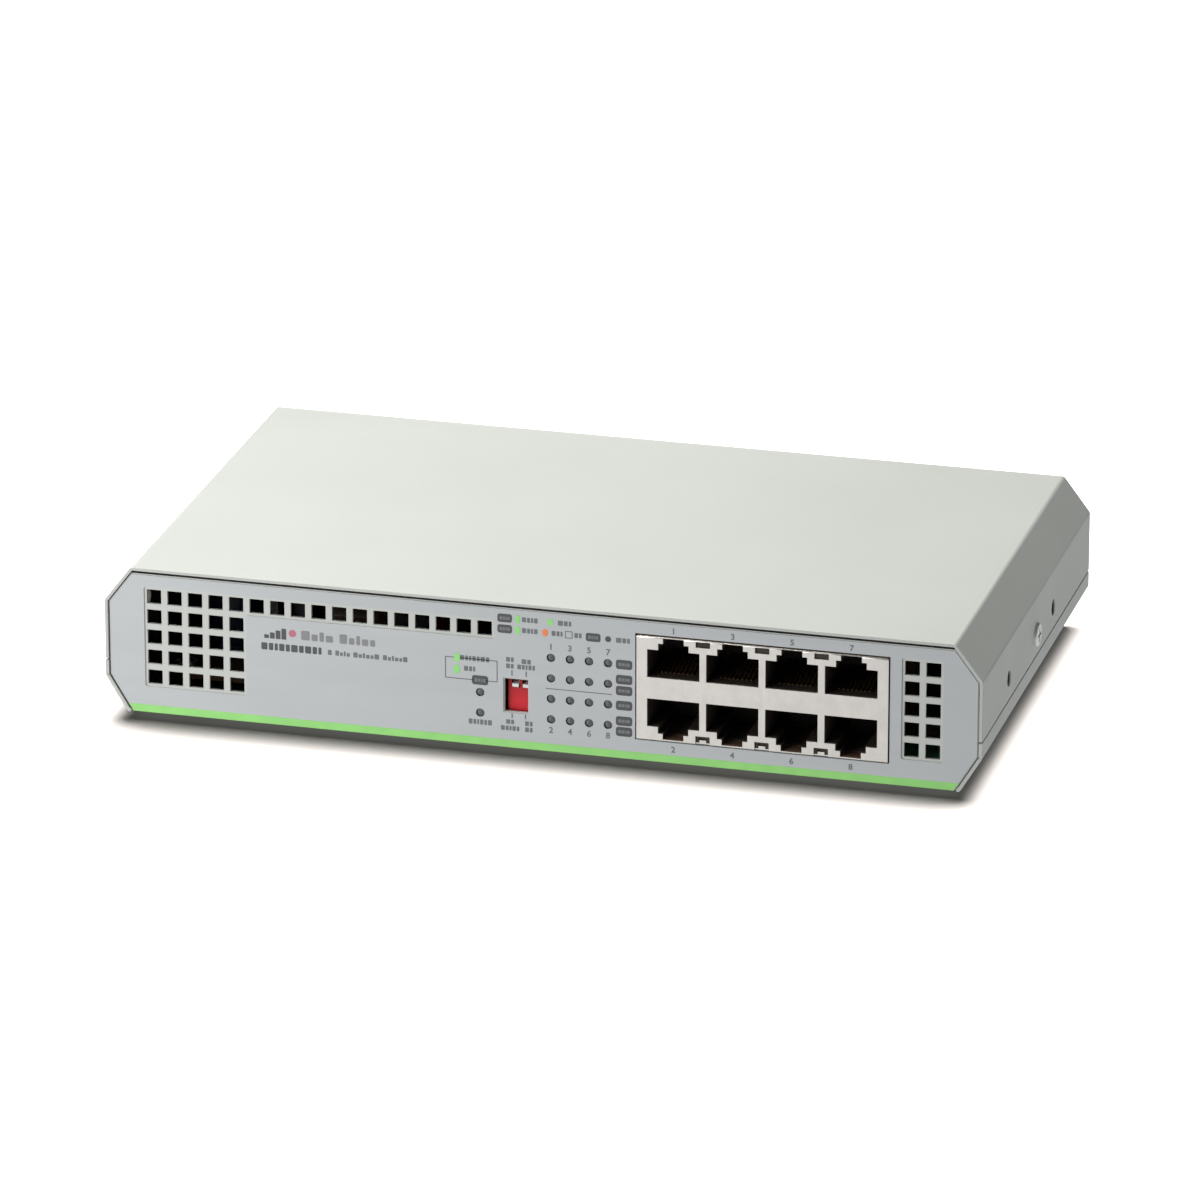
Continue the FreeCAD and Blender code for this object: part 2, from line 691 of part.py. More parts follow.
def spring_slots():
    """Slots in the shield's face between neighbouring columns, at its top and bottom edges."""
    y0 = JACK_FRONT - REACH
    y1 = JACK_FRONT + SHIELD
    levels = ((BOARD_TOP - REACH, BOARD_TOP + 1.9), (JACK_TOP - 1.8, JACK_TOP - 0.4))
    half = SPRING_SLOT / 2
    return [box(x - half, x + half, y0, y1, z0, z1) for x in spring_places() for z0, z1 in levels]


def jack_shield():
    """The plated steel can round the socket block, with the mouths cut in its front."""
    x0 = JACK_X - JACK_WIDTH / 2
    x1 = JACK_X + JACK_WIDTH / 2
    y0 = JACK_FRONT + SHIELD
    y1 = JACK_REAR - SHIELD
    outer = soften_top(box(x0, x1, JACK_FRONT, JACK_REAR, BOARD_TOP, JACK_TOP), 0.5)
    inner = box(x0 + SHIELD, x1 - SHIELD, y0, y1, BOARD_TOP + SHIELD, JACK_TOP - SHIELD)
    below = box(x0 + SHIELD, x1 - SHIELD, y0 + 8.0, y1, BOARD_TOP - REACH, BOARD_TOP + REACH)
    depth = SHIELD + 1.5 * REACH
    front = JACK_FRONT - REACH
    mouths = [
        prism("y", socket_outline(x, row, MOUTH_MARGIN), front, depth)
        for x, row in socket_centres()
    ]
    legs = [
        box(x, x + SHIELD, y - 1.0, y + 1.0, LEAD_TIP, BOARD_TOP + 0.5) for x, y in leg_places()
    ]
    tabs = [
        box(x - 0.8, x + 0.8, y0, y0 + SHIELD, BOARD_TOP, BOARD_TOP + 0.9) for x in spring_places()
    ]
    reliefs = latch_reliefs(front, y0 + 0.5 * REACH, MOUTH_MARGIN)
    cuts = [inner, below] + mouths + reliefs + spring_slots()
    return outer.cut(cuts).fuse(legs + tabs).removeSplitter()


def leg_slots():
    """Slots in the main board for the shield's legs."""
    z0 = BOARD_BOTTOM - REACH
    z1 = BOARD_TOP + REACH
    return [
        box(x - 0.2, x + SHIELD + 0.2, y - 1.2, y + 1.2, z0, z1) for x, y in leg_places()
    ]


def jack_housing():
    """The moulded block with eight plug cavities."""
    half = JACK_WIDTH / 2 - SHIELD - 0.1
    back = SOCKET_BACK + 1.5
    low = BOARD_TOP + SHIELD + 0.05
    high = JACK_TOP - SHIELD - 0.05
    body = box(JACK_X - half, JACK_X + half, HOUSING_FRONT, back, low, high)
    depth = SOCKET_BACK - HOUSING_FRONT + REACH
    cavities = [
        prism("y", socket_outline(x, row), HOUSING_FRONT - REACH, depth)
        for x, row in socket_centres()
    ]
    reliefs = latch_reliefs(HOUSING_FRONT - REACH, HOUSING_FRONT + LATCH_RELIEF)
    pockets = [
        box(x - 1.0, x + 1.0, HOUSING_FRONT - REACH, HOUSING_FRONT + 0.5, low - REACH, low + 1.1)
        for x in spring_places()
    ]
    return body.cut(cavities + reliefs + pockets)


def jack_contacts():
    """Sixty-four spring contacts, eight in each socket."""
    width = 0.45
    thickness = 0.25
    height = JACK_MIDDLE + SOCKET_NEAR
    path = [
        (SOCKET_BACK, height + 1.85),
        (SOCKET_BACK - 2.2, height + 1.85),
        (HOUSING_FRONT + 4.4, height + 0.3),
        (HOUSING_FRONT + 2.9, height + 0.3),
    ]
    upper = folded_sheet("x", path, -width / 2, width, thickness, 0.6)
    lower = upper.mirror(V(0, 0, JACK_MIDDLE), V(0, 0, 1))
    spring = {1: upper, -1: lower}
    middle = (CONTACTS - 1) / 2
    return group(
        spring[row].translated(V(x + (i - middle) * CONTACT_PITCH, 0, 0))
        for x, row in socket_centres()
        for i in range(CONTACTS)
    )


def jack_magnetics():
    """The moulded block of isolation transformers behind the sockets."""
    half = JACK_WIDTH / 2 - SHIELD - 0.2
    front = SOCKET_BACK + 1.7
    body = box(
        JACK_X - half, JACK_X + half, front, JACK_REAR - SHIELD - 0.2,
        BOARD_TOP, JACK_TOP - SHIELD - 0.3,
    )
    return soften_top(body, 0.5)


# Boards

def board(size, screws, points, extra):
    """A circuit board with its screw holes and lead holes."""
    x0, x1, y0, y1 = size
    low = BOARD_BOTTOM - REACH
    length = BOARD + 2 * REACH
    plate = rounded(box(x0, x1, y0, y1, BOARD_BOTTOM, BOARD_TOP), "z", 1.5)
    holes = [rod((x, y, low), "z", SCREW_HOLE_R, length) for x, y in screws]
    holes += [rod((x, y, low), "z", LEAD_R + 0.1, length) for x, y in points]
    return plate.cut(holes + extra)


def main_board():
    """The board that carries the sockets, lamps, setting switch and switching chip."""
    points = [p for name in MAIN_LEADS for p in MAIN_LEADS[name]]
    pins = [
        rod((x, y, BOARD_BOTTOM - REACH), "z", 1.5, BOARD + 2 * REACH)
        for x, y in heatsink_pin_points()
    ]
    return board(MAIN_BOARD, MAIN_SCREWS, points, pins + leg_slots())


def power_board():
    """The board of the mains power supply."""
    points = [p for name in POWER_LEADS for p in POWER_LEADS[name]]
    return board(POWER_BOARD, POWER_SCREWS, points, [])


def power_insulator():
    """The dark sheet between the power board and the case floor."""
    x0, x1, y0, y1 = POWER_BOARD
    sheet = box(x0 - 2.0, x1 + 2.0, y0 - 2.0, y1 + 2.0, INNER_FLOOR, INNER_FLOOR + 0.25)
    return sheet.cut([rod((x, y, FLOOR), "z", 2.8, 3.0) for x, y in POWER_SCREWS])


def board_standoffs():
    """Eight threaded pillars pressed into the case floor."""
    return group(
        tube((x, y, INNER_FLOOR), "z", 2.6, 1.3, STANDOFF) for x, y in MAIN_SCREWS + POWER_SCREWS
    )


def pan_screw(x, y, base, shank):
    """A pan head screw pointing down, its head resting on a level."""
    head = soften_top(rod((x, y, base), "z", 2.75, 1.9), 0.8)
    slots = [standing((x, y), size, base + 1.0) for size in ((3.2, 0.7, 1.5), (0.7, 3.2, 1.5))]
    return head.fuse(rod((x, y, base - shank), "z", 1.25, shank + 0.5)).cut(slots)


def board_screws():
    """Eight screws that hold the boards down."""
    shank = BOARD + STANDOFF - 0.6
    return group(pan_screw(x, y, BOARD_TOP, shank) for x, y in MAIN_SCREWS + POWER_SCREWS)


# Main board components

CHIP_SIZE = 28.0
CHIP_TOP = BOARD_TOP + 3.4
PAD = 0.6
SINK_SIZE = 38.0


def heatsink_pin_points():
    """The two opposite corners where the heatsink is pinned to the board."""
    x, y = CHIP
    return [(x - 17.0, y + 17.0), (x + 17.0, y - 17.0)]


def switch_chip():
    """The switching chip: a flat moulded body with a row of leads on each side."""
    body = rounded(standing(CHIP, (CHIP_SIZE, CHIP_SIZE, 3.2), BOARD_TOP + 0.2), "z", 0.8)
    pins = []
    path = [
        (CHIP_SIZE / 2 + 1.6, BOARD_TOP),
        (CHIP_SIZE / 2 + 0.8, BOARD_TOP),
        (CHIP_SIZE / 2 + 0.5, BOARD_TOP + 1.6),
        (CHIP_SIZE / 2, BOARD_TOP + 1.6),
    ]
    pin = folded_sheet("y", path[::-1], -0.15, 0.3, 0.15, 0.3)
    for quarter in range(4):
        for i in range(26):
            one = pin.translated(V(0, i - 12.5, 0))
            one.rotate(V(0, 0, 0), V(0, 0, 1), 90 * quarter)
            pins.append(one.translated(V(*CHIP, 0)))
    return group([body] + pins)


def thermal_pad():
    """The soft pad between the chip and its heatsink."""
    return standing(CHIP, (24.0, 24.0, PAD), CHIP_TOP)


def chip_heatsink():
    """An extruded heatsink with straight fins, drilled at two corners for its pins."""
    base, height, fin, count = 2.0, 12.0, 1.0, 11
    x, y = CHIP
    low = CHIP_TOP + PAD
    half = SINK_SIZE / 2
    body = standing(CHIP, (SINK_SIZE, SINK_SIZE, height), low)
    pitch = (SINK_SIZE - fin) / (count - 1)
    gaps = [
        box(
            x - half + fin + pitch * i, x - half + pitch * (i + 1),
            y - half - REACH, y + half + REACH, low + base, low + height + REACH,
        )
        for i in range(count - 1)
    ]
    pins = heatsink_pin_points()
    bores = [rod((u, v, low - REACH), "z", 1.6, height + 2 * REACH) for u, v in pins]
    wells = [rod((u, v, low + base), "z", 3.2, height) for u, v in pins]
    return body.cut(gaps + bores + wells)


def heatsink_pins():
    """Two barbed push pins."""
    pins = []
    for x, y in heatsink_pin_points():
        seat = CHIP_TOP + PAD + 2.0
        shank = rod((x, y, BOARD_BOTTOM - 0.9), "z", 1.3, seat - BOARD_BOTTOM + 1.4)
        head = rod((x, y, seat), "z", 2.5, 1.2)
        pins.append(shank.fuse(head))
    return group(pins)


def crystal():
    """A metal-can crystal."""
    can = rounded(standing(CRYSTAL, (11.0, 4.6, 3.4), BOARD_TOP), "z", 2.2)
    return with_leads(soften_top(can, 0.4), MAIN_LEADS["can"])


def gull_chip(centre, size, count, pitch):
    """A small moulded chip with leads along two sides."""
    x, y = centre
    across, along, height = size
    body = standing(centre, (across, along, height), BOARD_TOP + 0.1)
    pins = []
    for side in (-1, 1):
        for i in range(count):
            spot = (x + side * (across / 2 + 0.5), y + (i - (count - 1) / 2) * pitch)
            pins.append(standing(spot, (1.0, 0.4, 0.4), BOARD_TOP))
    return group([body] + pins)


def voltage_regulator():
    """A surface-mounted regulator with a metal tab."""
    x, y = REGULATOR
    body = standing(REGULATOR, (6.5, 6.0, 2.3), BOARD_TOP)
    tab = standing((x, y + 3.8), (5.4, 1.6, 0.5), BOARD_TOP)
    legs = [standing((x + s, y - 4.2), (0.7, 2.4, 0.5), BOARD_TOP) for s in (-2.3, 2.3)]
    return body.fuse([tab] + legs)


def power_inductors():
    """Two shielded inductors."""
    coils = []
    for x, y in INDUCTORS:
        block = rounded(standing((x, y), (10.0, 10.0, 5.0), BOARD_TOP), "z", 2.0)
        well = tube((x, y, BOARD_TOP + 4.2), "z", 3.6, 2.8, 2.0)
        coils.append(soften_top(block, 0.4).cut(well))
    return group(coils)


def smd_electrolytics():
    """Five surface-mounted capacitors, each a can on a square base."""
    cans = []
    for x, y in ELECTROLYTICS:
        base = standing((x, y), (6.6, 6.6, 1.2), BOARD_TOP)
        can = soften_top(rod((x, y, BOARD_TOP + 1.0), "z", 3.1, 4.8), 0.5)
        cans.append(base.fuse(can))
    return group(cans)


def smd_parts():
    """Small resistors and capacitors in rows."""
    spots = grid((9.0, -38.0), (6, 3), (4.0, 3.0))
    spots += grid((8.0, 24.0), (6, 2), (4.0, 3.0))
    spots += grid((50.0, -21.5), (9, 1), (4.0, 0.0))
    spots += grid((91.0, -34.0), (2, 4), (4.0, 3.5))
    return group(standing(spot, (2.0, 1.25, 0.6), BOARD_TOP) for spot in spots)


def dc_header(centre, points):
    """A four-way shrouded header, open on top, with its pins."""
    x, y = centre
    shell = standing(centre, (6.0, 12.4, 7.0), BOARD_TOP)
    well = standing(centre, (4.4, 10.8, 6.0), BOARD_TOP + 1.2)
    pins = [rod((px, py, LEAD_TIP), "z", LEAD_R, BOARD_TOP + 4.5 - LEAD_TIP) for px, py in points]
    return shell.cut(well).fuse(pins)


def dc_headers():
    """The headers at both ends of the low voltage cable."""
    return group([
        dc_header(DC_HEADERS[0], POWER_LEADS["header"]),
        dc_header(DC_HEADERS[1], MAIN_LEADS["header"]),
    ])


# Power board components

def ac_header():
    """The two-way header where the mains wires arrive."""
    body = rounded(standing(AC_HEADER, (8.0, 8.0, 9.0), BOARD_TOP), "z", 0.8)
    return with_leads(body, POWER_LEADS["ac_header"])


def fuse_body():
    """A round board-mounted fuse."""
    body = soften_top(rod((*FUSE, BOARD_TOP), "z", 4.2, 7.6), 0.6)
    return with_leads(body, POWER_LEADS["fuse"])


def x_capacitor():
    """The boxed mains filter capacitor."""
    body = rounded(standing(X_CAPACITOR, (18.0, 7.5, 13.5), BOARD_TOP), "z", 0.5)
    return with_leads(soften_top(body, 0.4), POWER_LEADS["x_capacitor"])


CHOKE_CORE = (4.6, 8.0, 7.0)    # inner radius, outer radius, height


def choke_core():
    """The ferrite ring of the mains filter choke."""
    inner, outer, height = CHOKE_CORE
    return tube((*CHOKE, BOARD_TOP + 1.2), "z", outer, inner, height)


def choke_windings():
    """The choke's two windings, wrapped round opposite sides of its ring."""
    inner, outer, height = CHOKE_CORE
    copper = 0.9
    x, y = CHOKE
    low = BOARD_TOP + 1.2
    section = [
        (inner - copper, low - copper),
        (outer + copper, low - copper),
        (outer + copper, low + height + copper),
        (inner - copper, low + height + copper),
    ]
    corners = [V(x + u, y, v) for u, v in section]
    coils = []
    for start in (-60, 120):
        face = Part.Face(Part.makePolygon(corners + corners[:1]))
        turn = face.revolve(V(x, y, 0), V(0, 0, 1), 120)
        turn.rotate(V(x, y, 0), V(0, 0, 1), start)
        coils.append(turn.cut(choke_core()))
    return group(coils + leads(POWER_LEADS["choke"], low - copper))


def bridge_rectifier():
    """A flat four-lead rectifier standing on its leads."""
    body = rounded(standing(BRIDGE, (15.0, 4.0, 11.0), BOARD_TOP), "y", 0.8)
    return with_leads(body, POWER_LEADS["bridge"])


def capacitor(centre, radius, height, points):
    """A sleeved electrolytic capacitor with a pressed ring near its top."""
    x, y = centre
    can = soften_top(rod((x, y, BOARD_TOP), "z", radius, height), 0.7)
    groove = Part.makeTorus(radius + 0.35, 0.7, V(x, y, BOARD_TOP + 2.2))
    dish = rod((x, y, BOARD_TOP + height - 0.3), "z", radius - 1.2, REACH)
    return with_leads(can.cut([groove, dish]), points)


def bulk_capacitor():
    """The large reservoir capacitor."""
    return capacitor(BULK_CAPACITOR, 8.0, 25.0, POWER_LEADS["bulk"])


def output_capacitors():
    """Three capacitors on the low voltage side."""
    points = POWER_LEADS["outputs"]
    return group(
        capacitor((OUTPUT_X, y), 4.0, 14.0, [p for p in points if abs(p[1] - y) < 1.0])
        for y in OUTPUT_Y
    )


def transformer_core():
    """Two ferrite E halves: a frame with a middle leg."""
    x, y = TRANSFORMER
    low = BOARD_TOP + 2.5
    frame = standing(TRANSFORMER, (22.0, 7.0, 18.0), low)
    windows = [
        box(x + x0, x + x0 + 5.0, y - 4.0, y + 4.0, low + 3.0, low + 15.0) for x0 in (-8.0, 3.0)
    ]
    return frame.cut(windows)


def transformer_winding():
    """The taped winding round the middle leg, on a bobbin with two rows of leads."""
    x, y = TRANSFORMER
    low = BOARD_TOP + 5.6
    outer = rounded(standing(TRANSFORMER, (15.6, 16.0, 11.8), low), "z", 2.0)
    leg = standing(TRANSFORMER, (6.2, 7.2, 13.0), low - 0.5)
    coil = outer.cut(leg)
    feet = [
        box(x - 9.0, x + 9.0, y + y0, y + y0 + 2.6, BOARD_TOP, low + 0.5) for y0 in (-8.8, 6.2)
    ]
    return with_leads(coil.fuse(feet), POWER_LEADS["transformer"])


def primary_heatsink():
    """The aluminium plate that cools the power transistor."""
    foot = box(-74.5, -70.5, -34.0, -10.0, BOARD_TOP, BOARD_TOP + 1.5)
    wall = box(-72.0, -70.5, -34.0, -10.0, BOARD_TOP, BOARD_TOP + 24.0)
    hole = rod((-73.0, -22.0, BOARD_TOP + 18.5), "x", 1.6, 4.0)
    return wall.fuse(foot).cut(hole)


def power_transistor():
    """The transistor, with its metal tab against the heatsink and its screw through both."""
    y = -22.0
    low = BOARD_TOP + 6.0
    tab = box(-70.5, -69.3, y - 5.0, y + 5.0, low, low + 15.5)
    body = box(-69.3, -66.2, y - 5.0, y + 5.0, low, low + 9.0)
    screw = rod((-72.0, y, BOARD_TOP + 18.5), "x", 1.4, 4.0)
    head = rod((-69.3, y, BOARD_TOP + 18.5), "x", 2.7, 1.8)
    legs = leads(POWER_LEADS["transistor"], low + 0.5)
    return tab.fuse([body, screw, head] + legs)


def output_diode():
    """The low voltage rectifier, standing beside the outputs."""
    body = rounded(standing(DIODE, (10.0, 4.4, 15.0), BOARD_TOP + 4.0), "y", 0.5)
    return body.fuse(leads(POWER_LEADS["diode"], BOARD_TOP + 4.5))


def y_capacitor():
    """A ceramic disc capacitor between the two sides of the supply."""
    x, y = Y_CAPACITOR
    thickness = 3.6
    disc = rod((x, y - thickness / 2, BOARD_TOP + 5.0), "y", 4.6, thickness)
    legs = leads(POWER_LEADS["y_capacitor"], BOARD_TOP + 5.0)
    return disc.fuse(legs)


def optocoupler():
    """The feedback coupler: a small box with a lead at each corner."""
    body = standing(COUPLER, (4.7, 6.5, 3.4), BOARD_TOP + 0.5)
    shoulders = [
        standing(point, (1.0, 1.8, 0.4), BOARD_TOP + 1.8) for point in POWER_LEADS["coupler"]
    ]
    legs = leads(POWER_LEADS["coupler"], BOARD_TOP + 2.0)
    return body.fuse(shoulders + legs)


# Mains inlet and wiring

BLADE = (2.0, 4.0)              # thickness in X, height in Z
BLADES = ((-7.0, -2.0), (0.0, 2.0), (7.0, -2.0))    # X and Z from the inlet's middle
INLET_BACK = 41.5
TAB_END = 33.0


def inlet_outline(size):
    """The inlet's section: a rectangle with its two upper corners cut off."""
    half_x = size[0] / 2
    half_z = size[1] / 2
    cut = 4.5
    right = [(half_x, -half_z), (half_x, half_z - cut), (half_x - cut, half_z)]
    points = right + [(-x, z) for x, z in reversed(right)]
    return [(INLET_X + x, INLET_Z + z) for x, z in points]


def blade_boxes(y0, y1, size):
    """One box for each blade, between two distances along Y."""
    across, height = size
    return [
        box(
            INLET_X + x - across / 2, INLET_X + x + across / 2, y0, y1,
            INLET_Z + z - height / 2, INLET_Z + z + height / 2,
        )
        for x, z in BLADES
    ]


def inlet_body():
    """The moulded inlet, with its flange, its plug cavity and a snap tab on each side."""
    face = REAR_LIP + INLET_PROUD
    half_x = INLET_FLANGE[0] / 2
    half_z = INLET_FLANGE[1] / 2
    flange = box(
        INLET_X - half_x, INLET_X + half_x, REAR_WALL, face, INLET_Z - half_z, INLET_Z + half_z
    )
    body = prism("y", inlet_outline(INLET_BODY), INLET_BACK, REAR_WALL - INLET_BACK + 0.5)
    side = INLET_BODY[0] / 2
    wedge = [(0.0, 50.0), (1.2, REAR_WALL - SHEET - 0.2), (0.0, REAR_WALL - SHEET - 0.2)]
    tabs = [
        prism("z", [(INLET_X + s * (side + u), v) for u, v in wedge], INLET_Z - 4.0, 8.0)
        for s in (-1, 1)
    ]
    cavity = prism("y", inlet_outline(INLET_CAVITY), INLET_BACK + 2.0, face - INLET_BACK)
    whole = rounded(flange, "y", 2.5).fuse([body] + tabs)
    return whole.cut([cavity] + blade_boxes(INLET_BACK - REACH, INLET_BACK + 3.0, BLADE))


def inlet_blades():
    """Three blades: round-nosed in the cavity, with flat solder tabs behind."""
    fronts = blade_boxes(INLET_BACK, REAR_WALL - 1.0, BLADE)
    tabs = blade_boxes(TAB_END, INLET_BACK, (0.8, 6.0))
    blades = []
    for front, tab in zip(fronts, tabs):
        nose = [e for e in front.Edges if e.BoundBox.YMin > REAR_WALL - 1.01]
        blades.append(front.makeChamfer(0.6, nose).fuse(tab))
    return group(blades)


def ac_wires():
    """The live and neutral wires from the inlet to the power board."""
    live = [
        (-77.0, TAB_END, 18.0), (-77.0, 30.0, 18.0), (-88.0, 27.0, 16.0), (-88.0, 22.5, 12.0),
        (-88.0, 18.0, 12.0),
    ]
    neutral = [
        (-63.0, TAB_END, 18.0), (-63.0, 28.0, 18.0), (-79.0, 24.5, 12.5), (-84.0, 22.0, 11.0),
        (-84.0, 18.0, 11.0),
    ]
    return group(wire_run(path, 1.1) for path in (live, neutral))


def earth_wire():
    """The earth wire, ending in a crimped ring under its screw."""
    x, y = EARTH_POINT
    path = [
        (INLET_X, TAB_END, 22.0), (INLET_X, 30.0, 22.0), (-58.0, 31.0, 22.0), (-50.0, 33.5, 12.0),
        (x, y - 8.0, 4.2), (x, y - 4.5, 4.0),
    ]
    ring = tube((x, y, INNER_FLOOR), "z", 4.2, 1.7, 0.9)
    crimp = rod((x, y - 8.0, INNER_FLOOR + 1.3), "y", 1.3, 4.4)
    return wire_run(path[:-1], 1.0).fuse([crimp, ring])


def earth_screw():
    """The screw that clamps the earth ring to the case floor."""
    x, y = EARTH_POINT
    return pan_screw(x, y, INNER_FLOOR + 0.9, SHEET + 0.9)


def dc_cable():
    """Four low voltage wires between the boards, with a plug at each end."""
    low = BOARD_TOP + 4.6
    top = BOARD_TOP + 9.0
    parts = [standing(place, (4.2, 10.6, top - low), low) for place in DC_HEADERS]
    left, middle = DC_HEADERS[0]
    right = DC_HEADERS[1][0]
    bend = 5.5
    for i in range(4):
        y = middle + (i - 1.5) * HEADER_PITCH
        path = [
            (left, y, top), (left, y, top + 3.5), (left + bend, y, top + 7.5),
            (right - bend, y, top + 7.5), (right, y, top + 3.5), (right, y, top),
        ]
        parts.append(wire_run(path, 0.75))
    return group(parts)


def build():
    """Every node's shape, by name."""
    nodes = {
        "base_chassis": base_chassis(),
        "top_cover": top_cover(),
        "front_overlay": front_overlay(),
        "cover_screws": cover_screws(),
        "rubber_feet": rubber_feet(),
        "led_lamps": led_lamps(),
        "led_leads": group(leads(MAIN_LEADS["leds"])),
        "dip_body": dip_body(),
        "dip_terminals": group(leads(MAIN_LEADS["dip"])),
        "jack_shield": jack_shield(),
        "jack_housing": jack_housing(),
        "jack_contacts": jack_contacts(),
        "jack_magnetics": jack_magnetics(),
        "jack_pins": group(leads(MAIN_LEADS["jack"])),
        "main_board": main_board(),
        "power_board": power_board(),
        "power_insulator": power_insulator(),
        "board_standoffs": board_standoffs(),
        "board_screws": board_screws(),
        "switch_chip": switch_chip(),
        "thermal_pad": thermal_pad(),
        "chip_heatsink": chip_heatsink(),
        "heatsink_pins": heatsink_pins(),
        "crystal": crystal(),
        "flash_chip": gull_chip(FLASH_CHIP, (4.0, 5.0, 1.5), 4, 1.27),
        "voltage_regulator": voltage_regulator(),
        "power_inductors": power_inductors(),
        "smd_electrolytics": smd_electrolytics(),
        "smd_parts": smd_parts(),
        "dc_headers": dc_headers(),
        "ac_header": ac_header(),
        "fuse": fuse_body(),
        "x_capacitor": x_capacitor(),
        "choke_core": choke_core(),
        "choke_windings": choke_windings(),
        "bridge_rectifier": bridge_rectifier(),
        "bulk_capacitor": bulk_capacitor(),
        "transformer_core": transformer_core(),
        "transformer_winding": transformer_winding(),
        "primary_heatsink": primary_heatsink(),
        "power_transistor": power_transistor(),
        "output_diode": output_diode(),
        "output_capacitors": output_capacitors(),
        "y_capacitor": y_capacitor(),
        "optocoupler": optocoupler(),
        "inlet_body": inlet_body(),
        "inlet_blades": inlet_blades(),
        "ac_wires": ac_wires(),
        "earth_wire": earth_wire(),
        "earth_screw": earth_screw(),
        "dc_cable": dc_cable(),
    }
    for number, (x, heights) in enumerate(led_columns()[:LED_COLUMNS], start=1):
        nodes[f"led_holder_{number}"] = led_holder(x, heights)
    nodes["status_led_holder"] = led_holder(*led_columns()[LED_COLUMNS])
    for number, x in enumerate(key_centres(), start=1):
        nodes[f"dip_key_{number}"] = dip_key(x)
    return nodes


def export():
    """Write one STEP file for each node."""
    os.makedirs("parts", exist_ok=True)
    for name, shape in build().items():
        shape.exportStep(f"parts/{name}.step")


export()
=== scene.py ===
"""Looks of the desktop network switch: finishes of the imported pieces, printed marks and a studio."""
import math

import bmesh
import bpy
from mathutils import Matrix, Vector


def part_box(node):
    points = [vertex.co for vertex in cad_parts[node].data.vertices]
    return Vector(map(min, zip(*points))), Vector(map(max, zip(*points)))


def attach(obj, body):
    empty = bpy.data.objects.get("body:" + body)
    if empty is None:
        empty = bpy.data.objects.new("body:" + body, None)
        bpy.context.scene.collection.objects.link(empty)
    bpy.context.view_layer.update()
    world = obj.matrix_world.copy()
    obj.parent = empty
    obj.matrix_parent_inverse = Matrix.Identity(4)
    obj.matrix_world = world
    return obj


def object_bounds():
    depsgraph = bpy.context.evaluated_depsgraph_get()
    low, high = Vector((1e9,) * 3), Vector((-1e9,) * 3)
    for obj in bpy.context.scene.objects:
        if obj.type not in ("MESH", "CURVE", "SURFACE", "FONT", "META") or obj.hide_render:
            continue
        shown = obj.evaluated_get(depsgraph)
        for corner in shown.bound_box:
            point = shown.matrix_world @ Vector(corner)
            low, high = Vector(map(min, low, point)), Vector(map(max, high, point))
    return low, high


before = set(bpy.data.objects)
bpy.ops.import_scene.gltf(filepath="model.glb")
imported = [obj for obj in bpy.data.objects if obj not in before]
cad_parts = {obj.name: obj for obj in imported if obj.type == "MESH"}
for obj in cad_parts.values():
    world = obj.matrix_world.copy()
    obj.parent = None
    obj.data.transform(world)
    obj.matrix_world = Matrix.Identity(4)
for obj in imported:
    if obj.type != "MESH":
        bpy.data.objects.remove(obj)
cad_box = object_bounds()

MM = 0.001
CASE = "case"
PROUD = 0.03 * MM           # thickness of the printed ink

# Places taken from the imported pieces
FILM_LOW, FILM_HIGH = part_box("front_overlay")
FACE_Y = FILM_LOW.y
JACK_LOW, JACK_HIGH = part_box("jack_shield")
JACK_X = (JACK_LOW.x + JACK_HIGH.x) / 2
LAMP_LOW, LAMP_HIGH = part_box("led_lamps")
LAMP_R = 1.0 * MM
LAMP_PITCH_Z = 5.08 * MM
LAMP_X = [sum(c.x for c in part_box(f"led_holder_{n}")) / 2 for n in (1, 2, 3, 4)]
LAMP_Z = [LAMP_HIGH.z - LAMP_R - LAMP_PITCH_Z * row for row in range(4)]
STATUS_X = sum(c.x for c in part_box("status_led_holder")) / 2
DIP_X = sum(c.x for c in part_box("dip_body")) / 2
SOCKET_PITCH = 14.0 * MM

# The folded case's outer faces: levels, and each chamfer as z plus or minus a share of x
COVER_LOW, COVER_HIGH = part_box("top_cover")
SKIN = 0.4 * MM             # half of the sheet's thickness
WALL_SKIN = 0.7 * MM        # the punched edges of the end walls are painted too
FACE_SKIN = 0.04 * MM       # a wall's own face, without its punched edges
WALL_GAP_DEPTH = 1.6 * MM   # the gap between the front wall and the shell ends here
FILM_INSET = 0.95 * MM      # the front wall starts this far in from the shell's faces
CASE_HALF = COVER_HIGH.x
CASE_TOP = COVER_HIGH.z
FLOOR_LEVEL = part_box("base_chassis")[0].z
RIM = 0.6 * MM              # the shell's rims stand this far out from the end walls
WALL_FRONT = COVER_LOW.y + RIM
WALL_REAR = COVER_HIGH.y - RIM
CHAMFER_RISE = 8.6 * MM     # height of the upper and of the lower chamfers
UPPER_RUN = 6.5 * MM        # width of an upper chamfer
LOWER_RUN = 5.2 * MM        # width of a lower chamfer
UPPER_SLOPE = CHAMFER_RISE / UPPER_RUN
LOWER_SLOPE = CHAMFER_RISE / LOWER_RUN
UPPER_REACH = CASE_TOP - CHAMFER_RISE + UPPER_SLOPE * CASE_HALF
LOWER_REACH = LOWER_SLOPE * CASE_HALF - FLOOR_LEVEL - CHAMFER_RISE

